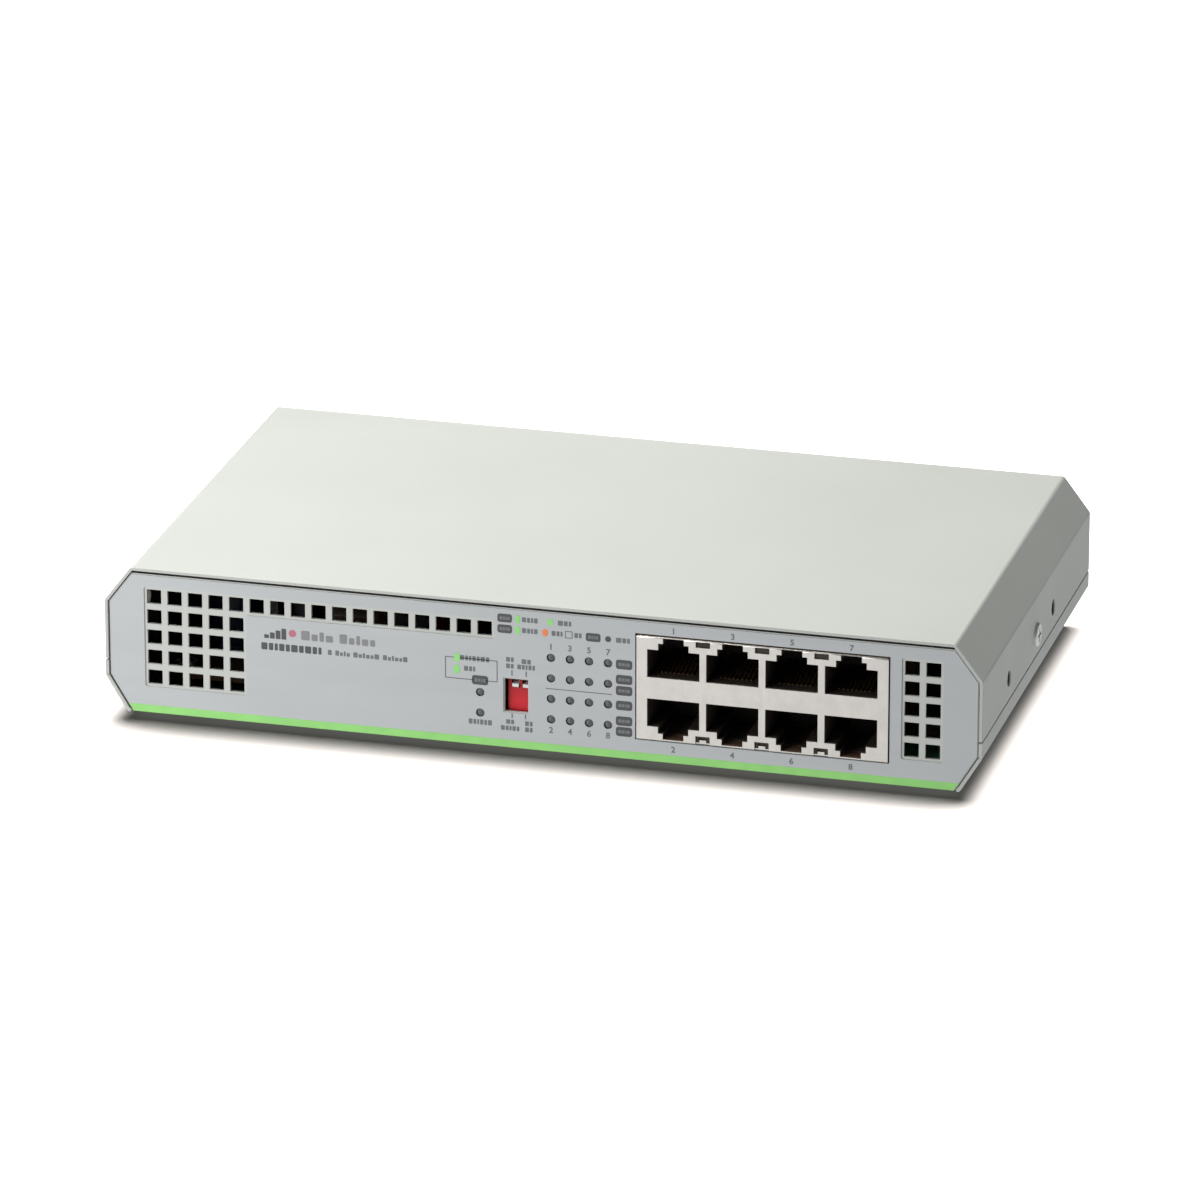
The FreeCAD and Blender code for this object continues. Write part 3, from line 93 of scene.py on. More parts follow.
# The printed marks
WORD = 1.2 * MM             # height of a word in the lamps' legends
THIN_LINE = 0.2 * MM
HEADER_LOW_Z = LAMP_Z[0] + 6.1 * MM
HEADER_TOP_Z = HEADER_LOW_Z + 2.65 * MM
STATUS_BOX_TOP = LAMP_Z[1] + 3.0 * MM
STATUS_BOX_LOW = LAMP_Z[1] - 2.15 * MM
STRIPE_HEIGHT = 1.85 * MM
STRIPE_MARGIN = 0.3 * MM    # the stripe ends this far from the film's slanted ends


# ---------------------------------------------------------------- materials

class Look:
    """One procedural material, built node by node."""

    def __init__(self, name, metallic=0.0, coat=0.0, coat_roughness=0.1):
        self.material = bpy.data.materials.new(name)
        self.material.use_nodes = True
        self.tree = self.material.node_tree
        self.shader = self.tree.nodes["Principled BSDF"]
        self.shader.inputs["Metallic"].default_value = metallic
        self.shader.inputs["Coat Weight"].default_value = coat
        self.shader.inputs["Coat Roughness"].default_value = coat_roughness
        self.place = self.tree.nodes.new("ShaderNodeTexCoord").outputs["Object"]

    def node(self, kind, inputs, **settings):
        """A node with its settings, its fixed values and its incoming links."""
        made = self.tree.nodes.new(kind)
        for key, value in settings.items():
            setattr(made, key, value)
        for key, value in inputs.items():
            if isinstance(value, bpy.types.NodeSocket):
                self.tree.links.new(value, made.inputs[key])
            else:
                made.inputs[key].default_value = value
        return made

    def scaled(self, size, stretch=(1.0, 1.0, 1.0)):
        """Object coordinates in units of size, squeezed by stretch."""
        factors = [s / size for s in stretch]
        inputs = {0: self.place, 1: factors}
        return self.node("ShaderNodeVectorMath", inputs, operation="MULTIPLY").outputs[0]

    def noise(self, size, stretch=(1.0, 1.0, 1.0), detail=3.0):
        """Soft blotches about size metres across."""
        inputs = {"Vector": self.scaled(size, stretch), "Scale": 1.0, "Detail": detail}
        return self.node("ShaderNodeTexNoise", inputs).outputs["Fac"]

    def cells(self, size, feature="F1"):
        """Distance to the nearest of scattered points about size metres apart."""
        inputs = {"Vector": self.scaled(size), "Scale": 1.0}
        return self.node("ShaderNodeTexVoronoi", inputs, feature=feature).outputs["Distance"]

    def spread(self, value, low, high, start=0.3, end=0.7):
        """A value remapped from start..end to low..high."""
        inputs = {"Value": value, "From Min": start, "From Max": end, "To Min": low, "To Max": high}
        return self.node("ShaderNodeMapRange", inputs).outputs[0]

    def mix(self, factor, first, second):
        """A colour between two others."""
        inputs = {0: factor, 6: opaque(first), 7: opaque(second)}
        return self.node("ShaderNodeMix", inputs, data_type="RGBA").outputs[2]

    def combine(self, operation, first, second, third=0.0):
        """Values joined by a sum, product or comparison."""
        inputs = {0: first, 1: second, 2: third}
        return self.node("ShaderNodeMath", inputs, operation=operation).outputs[0]

    def bump(self, height, depth, strength=1.0, under=None):
        """A normal from a height of depth metres."""
        inputs = {"Height": height, "Distance": depth, "Strength": strength}
        if under is not None:
            inputs["Normal"] = under
        return self.node("ShaderNodeBump", inputs).outputs[0]

    def finish(self, colour, roughness, normal):
        """Connect the three maps that every finish has."""
        self.tree.links.new(colour, self.shader.inputs["Base Color"])
        self.tree.links.new(roughness, self.shader.inputs["Roughness"])
        self.tree.links.new(normal, self.shader.inputs["Normal"])
        return self.material


def opaque(colour):
    """A colour with full alpha, or a socket left as it is."""
    return colour if isinstance(colour, bpy.types.NodeSocket) else (*colour, 1.0)


def scale_colour(colour, factor):
    """A colour made lighter or darker."""
    return tuple(min(1.0, c * factor) for c in colour)


def highest(look, values):
    """The largest of several values."""
    most = values[0]
    for value in values[1:]:
        most = look.combine("MAXIMUM", most, value)
    return most


def case_depth(look, parts):
    """How far a place lies outside the case's section in X and Z: negative inside it."""
    across = look.combine("ABSOLUTE", parts[0], 0.0)
    upper = look.combine("MULTIPLY_ADD", across, UPPER_SLOPE, parts[2])
    lower = look.combine("MULTIPLY_ADD", across, LOWER_SLOPE, look.combine("MULTIPLY", parts[2], -1.0))
    upper = look.combine("SUBTRACT", upper, UPPER_REACH)
    lower = look.combine("SUBTRACT", lower, LOWER_REACH)
    return highest(look, [
        look.combine("SUBTRACT", across, CASE_HALF),
        look.combine("SUBTRACT", parts[2], CASE_TOP),
        look.combine("SUBTRACT", FLOOR_LEVEL, parts[2]),
        look.combine("MULTIPLY", upper, 1 / math.hypot(1.0, UPPER_SLOPE)),
        look.combine("MULTIPLY", lower, 1 / math.hypot(1.0, LOWER_SLOPE)),
    ])


def case_masks(look):
    """1 on faces inside the folded case, on the front wall's own face and on the front rim."""
    parts = look.node("ShaderNodeSeparateXYZ", {0: look.place}).outputs
    outside = case_depth(look, parts)
    ahead = look.combine("SUBTRACT", WALL_FRONT, parts[1])
    # Faces in the gap behind the front rim count as inside and take the dark colour: painted shade under
    # the rim.
    edges = look.combine("MAXIMUM", look.combine("ADD", ahead, FACE_SKIN),
                         look.combine("SUBTRACT", -WALL_GAP_DEPTH, outside))
    front = look.combine("MINIMUM", edges, look.combine("ADD", ahead, WALL_SKIN))
    rear = look.combine("SUBTRACT", parts[1], WALL_REAR - WALL_SKIN)
    painted = highest(look, [look.combine("ADD", outside, SKIN), front, rear])
    inside = look.combine("LESS_THAN", painted, 0.0)
    # The front wall's own face and the rim ends are masked for darker copies of the paint: painted
    # shade.
    on_wall = look.combine("GREATER_THAN", look.combine("ADD", ahead, FACE_SKIN), 0.0)
    face_shade = look.combine("MULTIPLY", on_wall, look.combine("LESS_THAN", outside, -FILM_INSET))
    rim_shade = look.combine("GREATER_THAN", ahead, RIM - FACE_SKIN)
    return inside, face_shade, rim_shade


def powder_coat(name, colour):
    """Baked paint on steel: orange peel, faint mottling, a few rubbed specks; inside, a dull primer
    darkened as painted shade, and darker paint on the front face and rim ends as painted shade.
    """
    look = Look(name)
    broad = look.spread(look.noise(45 * MM, detail=2.0), 0.0, 1.0)
    base = look.mix(broad, scale_colour(colour, 0.98), scale_colour(colour, 1.015))
    specks = look.spread(look.cells(3.2 * MM), 1.0, 0.0, 0.02, 0.06)
    base = look.mix(look.combine("MULTIPLY", specks, 0.2), base, scale_colour(colour, 0.82))
    clouds = look.spread(look.noise(7 * MM), 0.0, 1.0)
    # Inside the case a dull primer, darkened to stand for the shade there: painted shade.
    primer_and_shade = look.mix(clouds, PRIMER_AND_SHADE_DARK, PRIMER_AND_SHADE_PALE)
    inside, face_shade, rim_shade = case_masks(look)
    base = look.mix(inside, base, primer_and_shade)
    # Darker paint on the front wall's face and on the rim ends: painted shade.
    base = look.mix(face_shade, base, scale_colour(colour, 0.86))
    base = look.mix(rim_shade, base, scale_colour(colour, 0.8))
    peel = look.noise(0.55 * MM, detail=2.0)
    fine = look.bump(look.noise(0.16 * MM), 0.004 * MM, 0.5)
    rough = look.spread(look.noise(9 * MM), 0.5, 0.6)
    look.shader.inputs["Specular IOR Level"].default_value = 0.18
    return look.finish(base, rough, look.bump(peel, 0.02 * MM, 0.5, fine))


def printed_film(name, colour):
    """Satin film: a fine grain, faint long streaks and soft smudges."""
    look = Look(name)
    streaks = look.spread(look.noise(6 * MM, (0.15, 1.0, 1.0)), 0.0, 1.0)
    base = look.mix(streaks, scale_colour(colour, 0.975), scale_colour(colour, 1.02))
    grain = look.bump(look.noise(0.22 * MM, detail=1.0), 0.008 * MM, 0.5)
    rough = look.spread(look.noise(14 * MM), 0.34, 0.46)
    return look.finish(base, rough, grain)


def ink(name, colour):
    """Screen printed ink, slightly uneven in density."""
    look = Look(name)
    density = look.spread(look.noise(4 * MM), 0.0, 1.0)
    base = look.mix(density, scale_colour(colour, 0.95), scale_colour(colour, 1.05))
    mesh = look.bump(look.noise(0.12 * MM, detail=1.0), 0.006 * MM, 0.4)
    rough = look.spread(look.noise(2 * MM), 0.45, 0.6)
    return look.finish(base, rough, mesh)


def moulded(name, colour, rough=0.45, grain=0.35, coat=0.0, gloss=0.5, top_shade=None):
    """Moulded plastic: a spark eroded grain with faint flow marks, darker above a given height as
    painted shade.
    """
    look = Look(name, coat=coat)
    look.shader.inputs["Specular IOR Level"].default_value = gloss
    flow = look.spread(look.noise(5 * MM, (1.0, 0.3, 1.0)), 0.0, 1.0)
    base = look.mix(flow, scale_colour(colour, 0.88), scale_colour(colour, 1.1))
    # Painted shade: the colour darkens upward from the first height to the second.
    if top_shade is not None:
        shade_start, shade_full, least = top_shade
        parts = look.node("ShaderNodeSeparateXYZ", {0: look.place}).outputs
        base = look.mix(look.spread(parts[2], 0.0, 1.0, shade_start, shade_full), base, scale_colour(colour, least))
    peaks = look.bump(look.noise(grain * MM), 0.02 * MM, 0.5)
    shine = look.spread(look.noise(3 * MM), rough - 0.07, rough + 0.07)
    return look.finish(base, shine, peaks)


def rolled_metal(name, colour, rough=0.3, along=(0.06, 1.0, 1.0), deep=None):
    """Rolled or plated sheet: fine lines along one direction, dull patches and a darker colour deeper in
    as painted shade.
    """
    look = Look(name, metallic=1.0)
    lines = look.noise(0.35 * MM, along, 4.0)
    patches = look.spread(look.noise(4 * MM), 0.0, 1.0, 0.35, 0.75)
    base = look.mix(patches, colour, scale_colour(colour, 0.85))
    # Painted shade: beyond the start the colour turns brown-dark and the metal less metallic.
    if deep is not None:
        start, shade_colour = deep
        parts = look.node("ShaderNodeSeparateXYZ", {0: look.place}).outputs
        within = look.combine("GREATER_THAN", parts[1], start)
        base = look.mix(within, base, shade_colour)
        look.tree.links.new(look.spread(within, 1.0, 0.2, 0.0, 1.0), look.shader.inputs["Metallic"])
    dull = look.spread(patches, rough, rough + 0.1, 0.0, 1.0)
    shine = look.combine("ADD", look.spread(lines, -0.06, 0.08), dull)
    return look.finish(base, shine, look.bump(lines, 0.01 * MM, 0.35))


def lamp_lens(name, colour, edge_colour):
    """A tinted moulded lens: duller where it is thick in the middle, paler down its sides."""
    look = Look(name)
    look.shader.inputs["Specular IOR Level"].default_value = 0.25
    parts = look.node("ShaderNodeSeparateXYZ", {0: look.place}).outputs
    depth = look.spread(parts[1], 0.0, 1.0, LAMP_LOW.y + 0.08 * MM, LAMP_LOW.y + 0.7 * MM)
    tint = look.spread(look.noise(0.8 * MM), 0.0, 0.25)
    base = look.mix(depth, look.mix(tint, colour, scale_colour(colour, 0.8)), edge_colour)
    rough = look.spread(look.noise(0.6 * MM), 0.5, 0.65)
    return look.finish(base, rough, look.bump(look.noise(0.15 * MM), 0.01 * MM, 0.4))


def rubber_look(name, colour):
    """Matte rubber with a pebbled skin and pale dust in its pits."""
    look = Look(name)
    pebbles = look.cells(0.6 * MM)
    dust = look.spread(look.noise(3 * MM), 0.0, 0.35)
    base = look.mix(dust, colour, (0.11, 0.105, 0.1))
    rough = look.spread(look.noise(1.5 * MM), 0.75, 0.92)
    return look.finish(base, rough, look.bump(pebbles, 0.05 * MM, 0.5))


def circuit_board(name, mask, copper):
    """Solder mask over copper: stepped traces, round pads and the mask's own gloss."""
    look = Look(name, coat=0.25)
    bricks = {"Vector": look.scaled(1.0 * MM), "Scale": 0.55, "Mortar Size": 0.06, "Bias": 0.0,
              "Brick Width": 1.7, "Row Height": 0.42}
    laid = look.node("ShaderNodeTexBrick", bricks, offset=0.37, squash=1.6, squash_frequency=3)
    lines = laid.outputs["Fac"]
    vias = look.spread(look.cells(3.4 * MM), 1.0, 0.0, 0.09, 0.13)
    traces = look.combine("MAXIMUM", look.combine("MULTIPLY", lines, 0.8), vias)
    base = look.mix(traces, mask, copper)
    base = look.mix(look.spread(look.noise(12 * MM), 0.0, 0.3), base, scale_colour(mask, 0.6))
    rough = look.spread(look.noise(2 * MM), 0.28, 0.42)
    return look.finish(base, rough, look.bump(traces, 0.03 * MM, 0.6))


def wound(name, colour, gap_colour, turn, axis):
    """Copper turns or tape laps: ridges that repeat along one axis."""
    look = Look(name, coat=0.4)
    wave = {"Vector": look.scaled(turn), "Scale": 0.5, "Distortion": 0.25, "Detail": 1.0}
    ridges = look.node("ShaderNodeTexWave", wave, bands_direction=axis).outputs["Fac"]
    shade = look.spread(look.noise(4 * MM), 0.85, 1.0)
    base = look.mix(look.combine("MULTIPLY", ridges, shade), gap_colour, colour)
    rough = look.spread(ridges, 0.45, 0.25)
    return look.finish(base, rough, look.bump(ridges, 0.1 * MM, 0.7))


def sleeved_can(name, colour, stripe_colour, stripe_y):
    """A shrunk capacitor sleeve with a pale stripe down its rear and small dashes on it."""
    look = Look(name, coat=0.1)
    look.shader.inputs["Specular IOR Level"].default_value = 0.2
    parts = look.node("ShaderNodeSeparateXYZ", {0: look.place}).outputs
    side = look.combine("GREATER_THAN", parts[1], stripe_y)
    dash = look.combine("FRACT", look.combine("MULTIPLY", parts[2], 1 / (3.2 * MM)), 0.0)
    dash = look.combine("GREATER_THAN", dash, 0.45)
    stripe = look.combine("MULTIPLY", side, look.spread(dash, 1.0, 0.7, 0.0, 1.0))
    base = look.mix(stripe, colour, stripe_colour)
    base = look.mix(look.spread(look.noise(6 * MM), 0.0, 0.25), base, scale_colour(colour, 0.5))
    rough = look.spread(look.noise(2 * MM), 0.25, 0.4)
    return look.finish(base, rough, look.bump(look.noise(1.2 * MM), 0.03 * MM, 0.3))


def dress(node, material):
    """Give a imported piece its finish."""
    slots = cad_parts[node].data.materials
    for index in range(len(slots)):
        slots[index] = material
    if not slots:
        slots.append(material)


PAINT = (0.54, 0.555, 0.52)
# A dull primer, darkened to stand for the shade inside the case and in the gap under the front rim:
# painted shade.
PRIMER_AND_SHADE_DARK = (0.09, 0.09, 0.086)
PRIMER_AND_SHADE_PALE = (0.13, 0.128, 0.12)
FILM = (0.415, 0.432, 0.436)
INK_DARK = (0.06, 0.062, 0.064)
INK_GREY = (0.13, 0.135, 0.14)
INK_PALE = (0.15, 0.157, 0.16)
INK_SOFT = (0.19, 0.195, 0.2)
INK_ROSE = (0.4, 0.12, 0.16)
STRIPE_GREEN = (0.25, 0.58, 0.155)
MARK_GREEN = (0.24, 0.6, 0.17)
MARK_ORANGE = (0.72, 0.2, 0.06)
BLACK = (0.012, 0.012, 0.013)
CHARCOAL = (0.02, 0.02, 0.022)
ZINC = (0.7, 0.7, 0.68)
DULL_ZINC = (0.72, 0.72, 0.71)
TIN = (0.71, 0.68, 0.635)
LENS = (0.105, 0.112, 0.115)
LENS_EDGE = (0.3, 0.31, 0.32)
# Brown-dark tin deep in the sockets: painted shade.
SOCKET_SHADE = (0.2, 0.12, 0.08)
SWITCH_RED = (0.56, 0.012, 0.02)
# The switch body is darker towards its top: painted shade cast by the window's upper edge.
SWITCH_TOP_SHADE = (13 * MM, 18.5 * MM, 0.45)     # lit below, painted shade from the window's top edge above, least brightness
NYLON = (0.72, 0.69, 0.6)
NAVY = (0.006, 0.007, 0.02)
SLEEVE_BLACK = (0.01, 0.01, 0.012)
SILVER_STRIPE = (0.55, 0.56, 0.58)
GOLD_STRIPE = (0.5, 0.45, 0.25)


def dress_packed_pieces():
    """One finish for each kind of piece."""
    round_grain = (1.0, 1.0, 0.15)
    socket_start = JACK_LOW.y + 0.33 * MM
    finishes = [
        (powder_coat("case_powder_coat", PAINT), ["base_chassis", "top_cover"]),
        (printed_film("front_film", FILM), ["front_overlay"]),
        (rolled_metal("zinc_plate", ZINC, 0.25, round_grain), ["board_screws", "earth_screw"]),
        (rolled_metal("zinc_dull", DULL_ZINC, 0.45, round_grain), ["cover_screws"]),
        (rubber_look("foot_rubber", (0.025, 0.025, 0.026)), ["rubber_feet"]),
        (lamp_lens("lamp_lens", LENS, LENS_EDGE), ["led_lamps"]),
        (moulded("holder_black", BLACK, 0.5),
         ["led_holder_1", "led_holder_2", "led_holder_3", "led_holder_4", "status_led_holder"]),
        (moulded("socket_black", (0.042, 0.034, 0.028), 0.5, gloss=0.15),
         ["jack_housing", "jack_magnetics"]),
        # The tin deep in the sockets takes a brown-dark colour: painted shade.
        (rolled_metal("shield_tin", TIN, 0.38, (1.0, 1.0, 0.06), (socket_start, SOCKET_SHADE)),
         ["jack_shield"]),
        # The gold is darkened to stand for the shade deep in the sockets: painted shade.
        (rolled_metal("contact_gold", (0.11, 0.065, 0.03), 0.55), ["jack_contacts"]),
        (rolled_metal("solder_tin", (0.62, 0.62, 0.62), 0.3),
         ["led_leads", "dip_terminals", "jack_pins"]),
        (moulded("switch_red", SWITCH_RED, 0.5, 0.5, gloss=0.35, top_shade=SWITCH_TOP_SHADE), ["dip_body"]),
        (moulded("switch_white", (0.62, 0.62, 0.6), 0.4, 0.4), ["dip_key_1", "dip_key_2"]),
        (circuit_board("solder_mask_green", (0.04, 0.24, 0.11), (0.09, 0.36, 0.18)), ["main_board"]),
        (circuit_board("phenolic_brown", (0.05, 0.03, 0.014), (0.08, 0.05, 0.025)), ["power_board"]),
        (moulded("insulator_sheet", CHARCOAL, 0.6, 0.8), ["power_insulator"]),
        (rolled_metal("standoff_brass", (0.78, 0.6, 0.28), 0.25, (1.0, 1.0, 0.1)), ["board_standoffs"]),
        (moulded("chip_epoxy", CHARCOAL, 0.55, 0.25),
         ["switch_chip", "flash_chip", "voltage_regulator", "bridge_rectifier", "optocoupler",
          "power_transistor", "output_diode"]),
        (moulded("pad_grey", (0.3, 0.32, 0.36), 0.7, 0.9), ["thermal_pad"]),
        (rolled_metal("sink_aluminium", (0.52, 0.53, 0.54), 0.4, (1.0, 0.05, 1.0)), ["chip_heatsink"]),
        (rolled_metal("sink_black", (0.045, 0.045, 0.047), 0.5, (1.0, 0.05, 1.0)), ["primary_heatsink"]),
        (rolled_metal("can_aluminium", (0.78, 0.78, 0.78), 0.28, (1.0, 1.0, 0.1)),
         ["crystal", "smd_electrolytics"]),
        (moulded("ferrite", (0.03, 0.03, 0.031), 0.6, 0.3),
         ["choke_core", "transformer_core", "power_inductors"]),
        (moulded("ceramic_brown", (0.28, 0.2, 0.13), 0.4, 0.3), ["smd_parts"]),
        (moulded("nylon_natural", NYLON, 0.42, 0.5), ["dc_headers", "ac_header", "heatsink_pins"]),
        (moulded("fuse_brown", (0.05, 0.028, 0.02), 0.35, 0.5, 0.3), ["fuse"]),
        (moulded("capacitor_grey", (0.06, 0.062, 0.062), 0.5, 0.5, gloss=0.3), ["x_capacitor"]),
        (wound("copper_turns", (0.72, 0.27, 0.1), (0.12, 0.03, 0.01), 0.9 * MM, "Z"),
         ["choke_windings"]),
        (wound("tape_laps", (0.035, 0.02, 0.007), (0.02, 0.011, 0.004), 4 * MM, "Z"),
         ["transformer_winding"]),
        (sleeved_can("sleeve_navy", NAVY, SILVER_STRIPE, -16.8 * MM), ["bulk_capacitor"]),
        (sleeved_can("sleeve_black", SLEEVE_BLACK, GOLD_STRIPE, 18.0 * MM), ["output_capacitors"]),
        (moulded("disc_blue", (0.04, 0.13, 0.4), 0.3, 0.8, 0.4), ["y_capacitor"]),
        (moulded("inlet_black", (0.013, 0.013, 0.014), 0.48, 0.45), ["inlet_body"]),
        (rolled_metal("blade_nickel", (0.72, 0.69, 0.62), 0.22, (1.0, 0.08, 1.0)), ["inlet_blades"]),
        (moulded("wire_black", CHARCOAL, 0.4, 0.8), ["ac_wires"]),
        (wound("earth_green_yellow", (0.55, 0.5, 0.03), (0.05, 0.28, 0.04), 6 * MM, "DIAGONAL"),
         ["earth_wire"]),
        (moulded("cable_red", (0.4, 0.02, 0.015), 0.4, 0.8), ["dc_cable"]),
    ]
    for material, nodes in finishes:
        for node in nodes:
            dress(node, material)


def soften_edges(node, width):
    """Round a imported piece's sheet edges by a hair, so that they catch the light."""
    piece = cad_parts[node]
    weld = piece.modifiers.new("weld", "WELD")
    weld.merge_threshold = 0.002 * MM
    bevel = piece.modifiers.new("bevel", "BEVEL")
    bevel.width = width
    bevel.segments = 2
    bevel.limit_method = "ANGLE"
    bevel.angle_limit = math.radians(50)
    bevel.harden_normals = True


# ---------------------------------------------------------------- printed marks

def rounded_box(x, z, width, height, radius, steps=5):
    """Outline of a box with round corners, anticlockwise in X and Z."""
    radius = min(radius, width / 2, height / 2)
    corners = [(1, 1, 0), (-1, 1, 90), (-1, -1, 180), (1, -1, 270)]
    points = []
    for sx, sz, start in corners:
        cx = x + sx * (width / 2 - radius)
        cz = z + sz * (height / 2 - radius)
        for step in range(steps + 1):
            angle = math.radians(start + 90 * step / steps)
            points.append((cx + radius * math.cos(angle), cz + radius * math.sin(angle)))
    return points


def disc(x, z, radius, steps=28):
    """Outline of a round mark."""
    turn = 2 * math.pi / steps
    return [(x + radius * math.cos(turn * i), z + radius * math.sin(turn * i)) for i in range(steps)]


def stroke(x0, z0, x1, z1, width):
    """Outline of a straight line with a width."""
    along = Vector((x1 - x0, z1 - z0)).normalized()
    side = Vector((-along.y, along.x)) * width / 2
    return [(x0 - side.x, z0 - side.y), (x1 - side.x, z1 - side.y),
            (x1 + side.x, z1 + side.y), (x0 + side.x, z0 + side.y)]


def frame_strokes(x0, z0, x1, z1, width):
    """Four lines round a box."""
    return [stroke(x0, z0, x1, z0, width), stroke(x1, z0, x1, z1, width),
            stroke(x1, z1, x0, z1, width), stroke(x0, z1, x0, z0, width)]


def greeked(x, z, width, height, low=1.0):
    """A word stood for by blocks on one base line: low is the height of its short letters."""
    shares = (1.0, 0.72, 0.5, 0.85, 0.65, 1.05, 0.75)
    rises = (1.0, low, 1.0, low, low, 1.0, low)
    pattern = list(zip(shares, rises))
    gap = 0.2 * height
    count = max(1, round(width / (0.8 * height)))
    letters = [pattern[i % len(pattern)] for i in range(count)]
    unit = (width - gap * (count - 1)) / sum(share for share, rise in letters)
    blocks = []
    left = x - width / 2
    for share, rise in letters:
        span = share * unit
        tall = rise * height
        middle = z + (tall - height) / 2
        blocks.append(rounded_box(left + span / 2, middle, span, tall, 0.12 * height, 2))
        left += span + gap
    return blocks


def printed(name, outlines, material, lift=0.0, proud=PROUD):
    """Flat marks on the film's face, as one thin solid piece."""
    mesh = bmesh.new()
    for outline in outlines:
        front = [mesh.verts.new((x, FACE_Y - lift - proud, z)) for x, z in outline]
        back = [mesh.verts.new((x, FACE_Y - lift, z)) for x, z in outline]
        mesh.faces.new(front)
        mesh.faces.new(back[::-1])
        for i in range(len(front)):
            j = (i + 1) % len(front)
            mesh.faces.new((front[j], front[i], back[i], back[j]))
    bmesh.ops.recalc_face_normals(mesh, faces=mesh.faces)
    return finish_piece(name, mesh, material)


def finish_piece(name, mesh, material, body=CASE):
    """Turn a bmesh into an object that rides on a body."""
    data = bpy.data.meshes.new(name)
    mesh.to_mesh(data)
    mesh.free()
    data.materials.append(material)
    piece = bpy.data.objects.new(name, data)
    bpy.context.scene.collection.objects.link(piece)
    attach(piece, body)
    return piece


def numeral(name, text, x, z, height, material):
    """A single digit, printed on the film."""
    curve = bpy.data.curves.new(name + "_curve", "FONT")
    curve.body = text
    curve.size = height / 0.7
    curve.extrude = PROUD / 2
    curve.offset = 0.05 * MM
    curve.align_x = "CENTER"
    curve.resolution_u = 6
    shape = bpy.data.objects.new(name + "_shape", curve)
    data = bpy.data.meshes.new_from_object(shape)
    bpy.data.objects.remove(shape)
    spin = Matrix.Rotation(math.radians(90), 4, "X")
    data.transform(Matrix.Translation((x, FACE_Y - PROUD / 2, z - height / 2)) @ spin)
    mesh = bmesh.new()
    mesh.from_mesh(data)
    bpy.data.meshes.remove(data)
    return finish_piece(name, mesh, material)


def stripe_outline(bottom, top):
    """The stripe along the film's lower edge, cut to the film's slanted ends."""
    bend = FLOOR_LEVEL + CHAMFER_RISE
    widest = FILM_HIGH.x - STRIPE_MARGIN
    low = widest - (bend - bottom) / LOWER_SLOPE
    high = widest - (bend - top) / LOWER_SLOPE
    return [(-low, bottom), (low, bottom), (high, top), (-high, top)]


def pill_places():
    """Centre and width of each pill: beside the lamp rows, in the header and on the status box."""
    wide = 3.9 * MM
    narrow = 3.5 * MM
    beside = LAMP_X[3] + 3.83 * MM
    row_marks = [(0, 0.0), (1, 1.37), (1, -1.38), (2, 0.06), (3, 1.3), (3, -1.32)]
    pills = [(beside, LAMP_Z[row] + shift * MM, wide) for row, shift in row_marks]
    pills += [(DIP_X - 3.45 * MM, z, narrow) for z in (HEADER_TOP_Z, HEADER_LOW_Z)]
    pills += [(LAMP_X[2] + 1.0 * MM, HEADER_LOW_Z - 0.1 * MM, narrow)]
    pills += [(STATUS_X, LAMP_Z[1] - 2.1 * MM, wide)]
    return pills


def header_legend():
    """Words and an open box over the port lamps."""
    places = [
        (-2.1, HEADER_TOP_Z, 3.7), (-2.1, HEADER_LOW_Z, 3.7), (6.2, HEADER_TOP_Z, 3.2),
        (4.4, HEADER_LOW_Z, 2.6), (9.4, HEADER_LOW_Z, 1.7), (20.1, HEADER_LOW_Z - 0.2 * MM, 3.3),
    ]
    lines = []
    for x, z, width in places:
        lines += greeked(x * MM, z, width * MM, WORD)
    half = 0.8 * MM
    low = HEADER_LOW_Z - half
    return lines + frame_strokes(6.4 * MM, low, 8.0 * MM, low + 2 * half, THIN_LINE)


def status_legend():
    """A box with two words over the status lamps, and a word under them."""
    left = STATUS_X - 8.3 * MM
    right = STATUS_X + 4.1 * MM
    lines = frame_strokes(left, STATUS_BOX_LOW, right, STATUS_BOX_TOP, 0.22 * MM)
    lines += greeked(STATUS_X - 1.3 * MM, STATUS_BOX_TOP + 0.1 * MM, 7.0 * MM, WORD)
    lines += greeked(STATUS_X - 2.5 * MM, STATUS_BOX_TOP - 2.5 * MM, 2.7 * MM, WORD)
    return lines + greeked(STATUS_X, LAMP_Z[3] - 2.3 * MM, 5.6 * MM, 1.25 * MM)


def lamp_divider():
    """Line between the upper and the lower sockets' lamps."""
    middle = (LAMP_Z[1] + LAMP_Z[2]) / 2
    return stroke(LAMP_X[0] - 1.3 * MM, middle, LAMP_X[3] + 0.9 * MM, middle, THIN_LINE)


def switch_legend():
    """Words over and under the setting switch, with a tick from each to its lever."""
    words = [
        (-6.9, 23.9, 1.8, 1.15), (-6.9, 22.3, 1.8, 1.15), (-3.0, 23.7, 2.2, 1.15),
        (-3.0, 22.3, 4.2, 1.15), (-6.9, 8.5, 1.9, 1.1), (-6.9, 6.9, 4.4, 1.15),
        (-2.4, 8.4, 1.8, 1.15), (-2.4, 6.9, 1.8, 1.15),
    ]
    ticks = [(-6.4, 20.0, 21.3), (-3.0, 20.0, 21.3), (-6.4, 10.6, 9.5), (-3.2, 10.6, 9.5)]
    lines = []
    for x, z, width, height in words:
        lines += greeked(x * MM, z * MM, width * MM, height * MM)
    for x, start, end in ticks:
        lines.append(stroke(x * MM, start * MM, x * MM, end * MM, 0.3 * MM))
    return lines


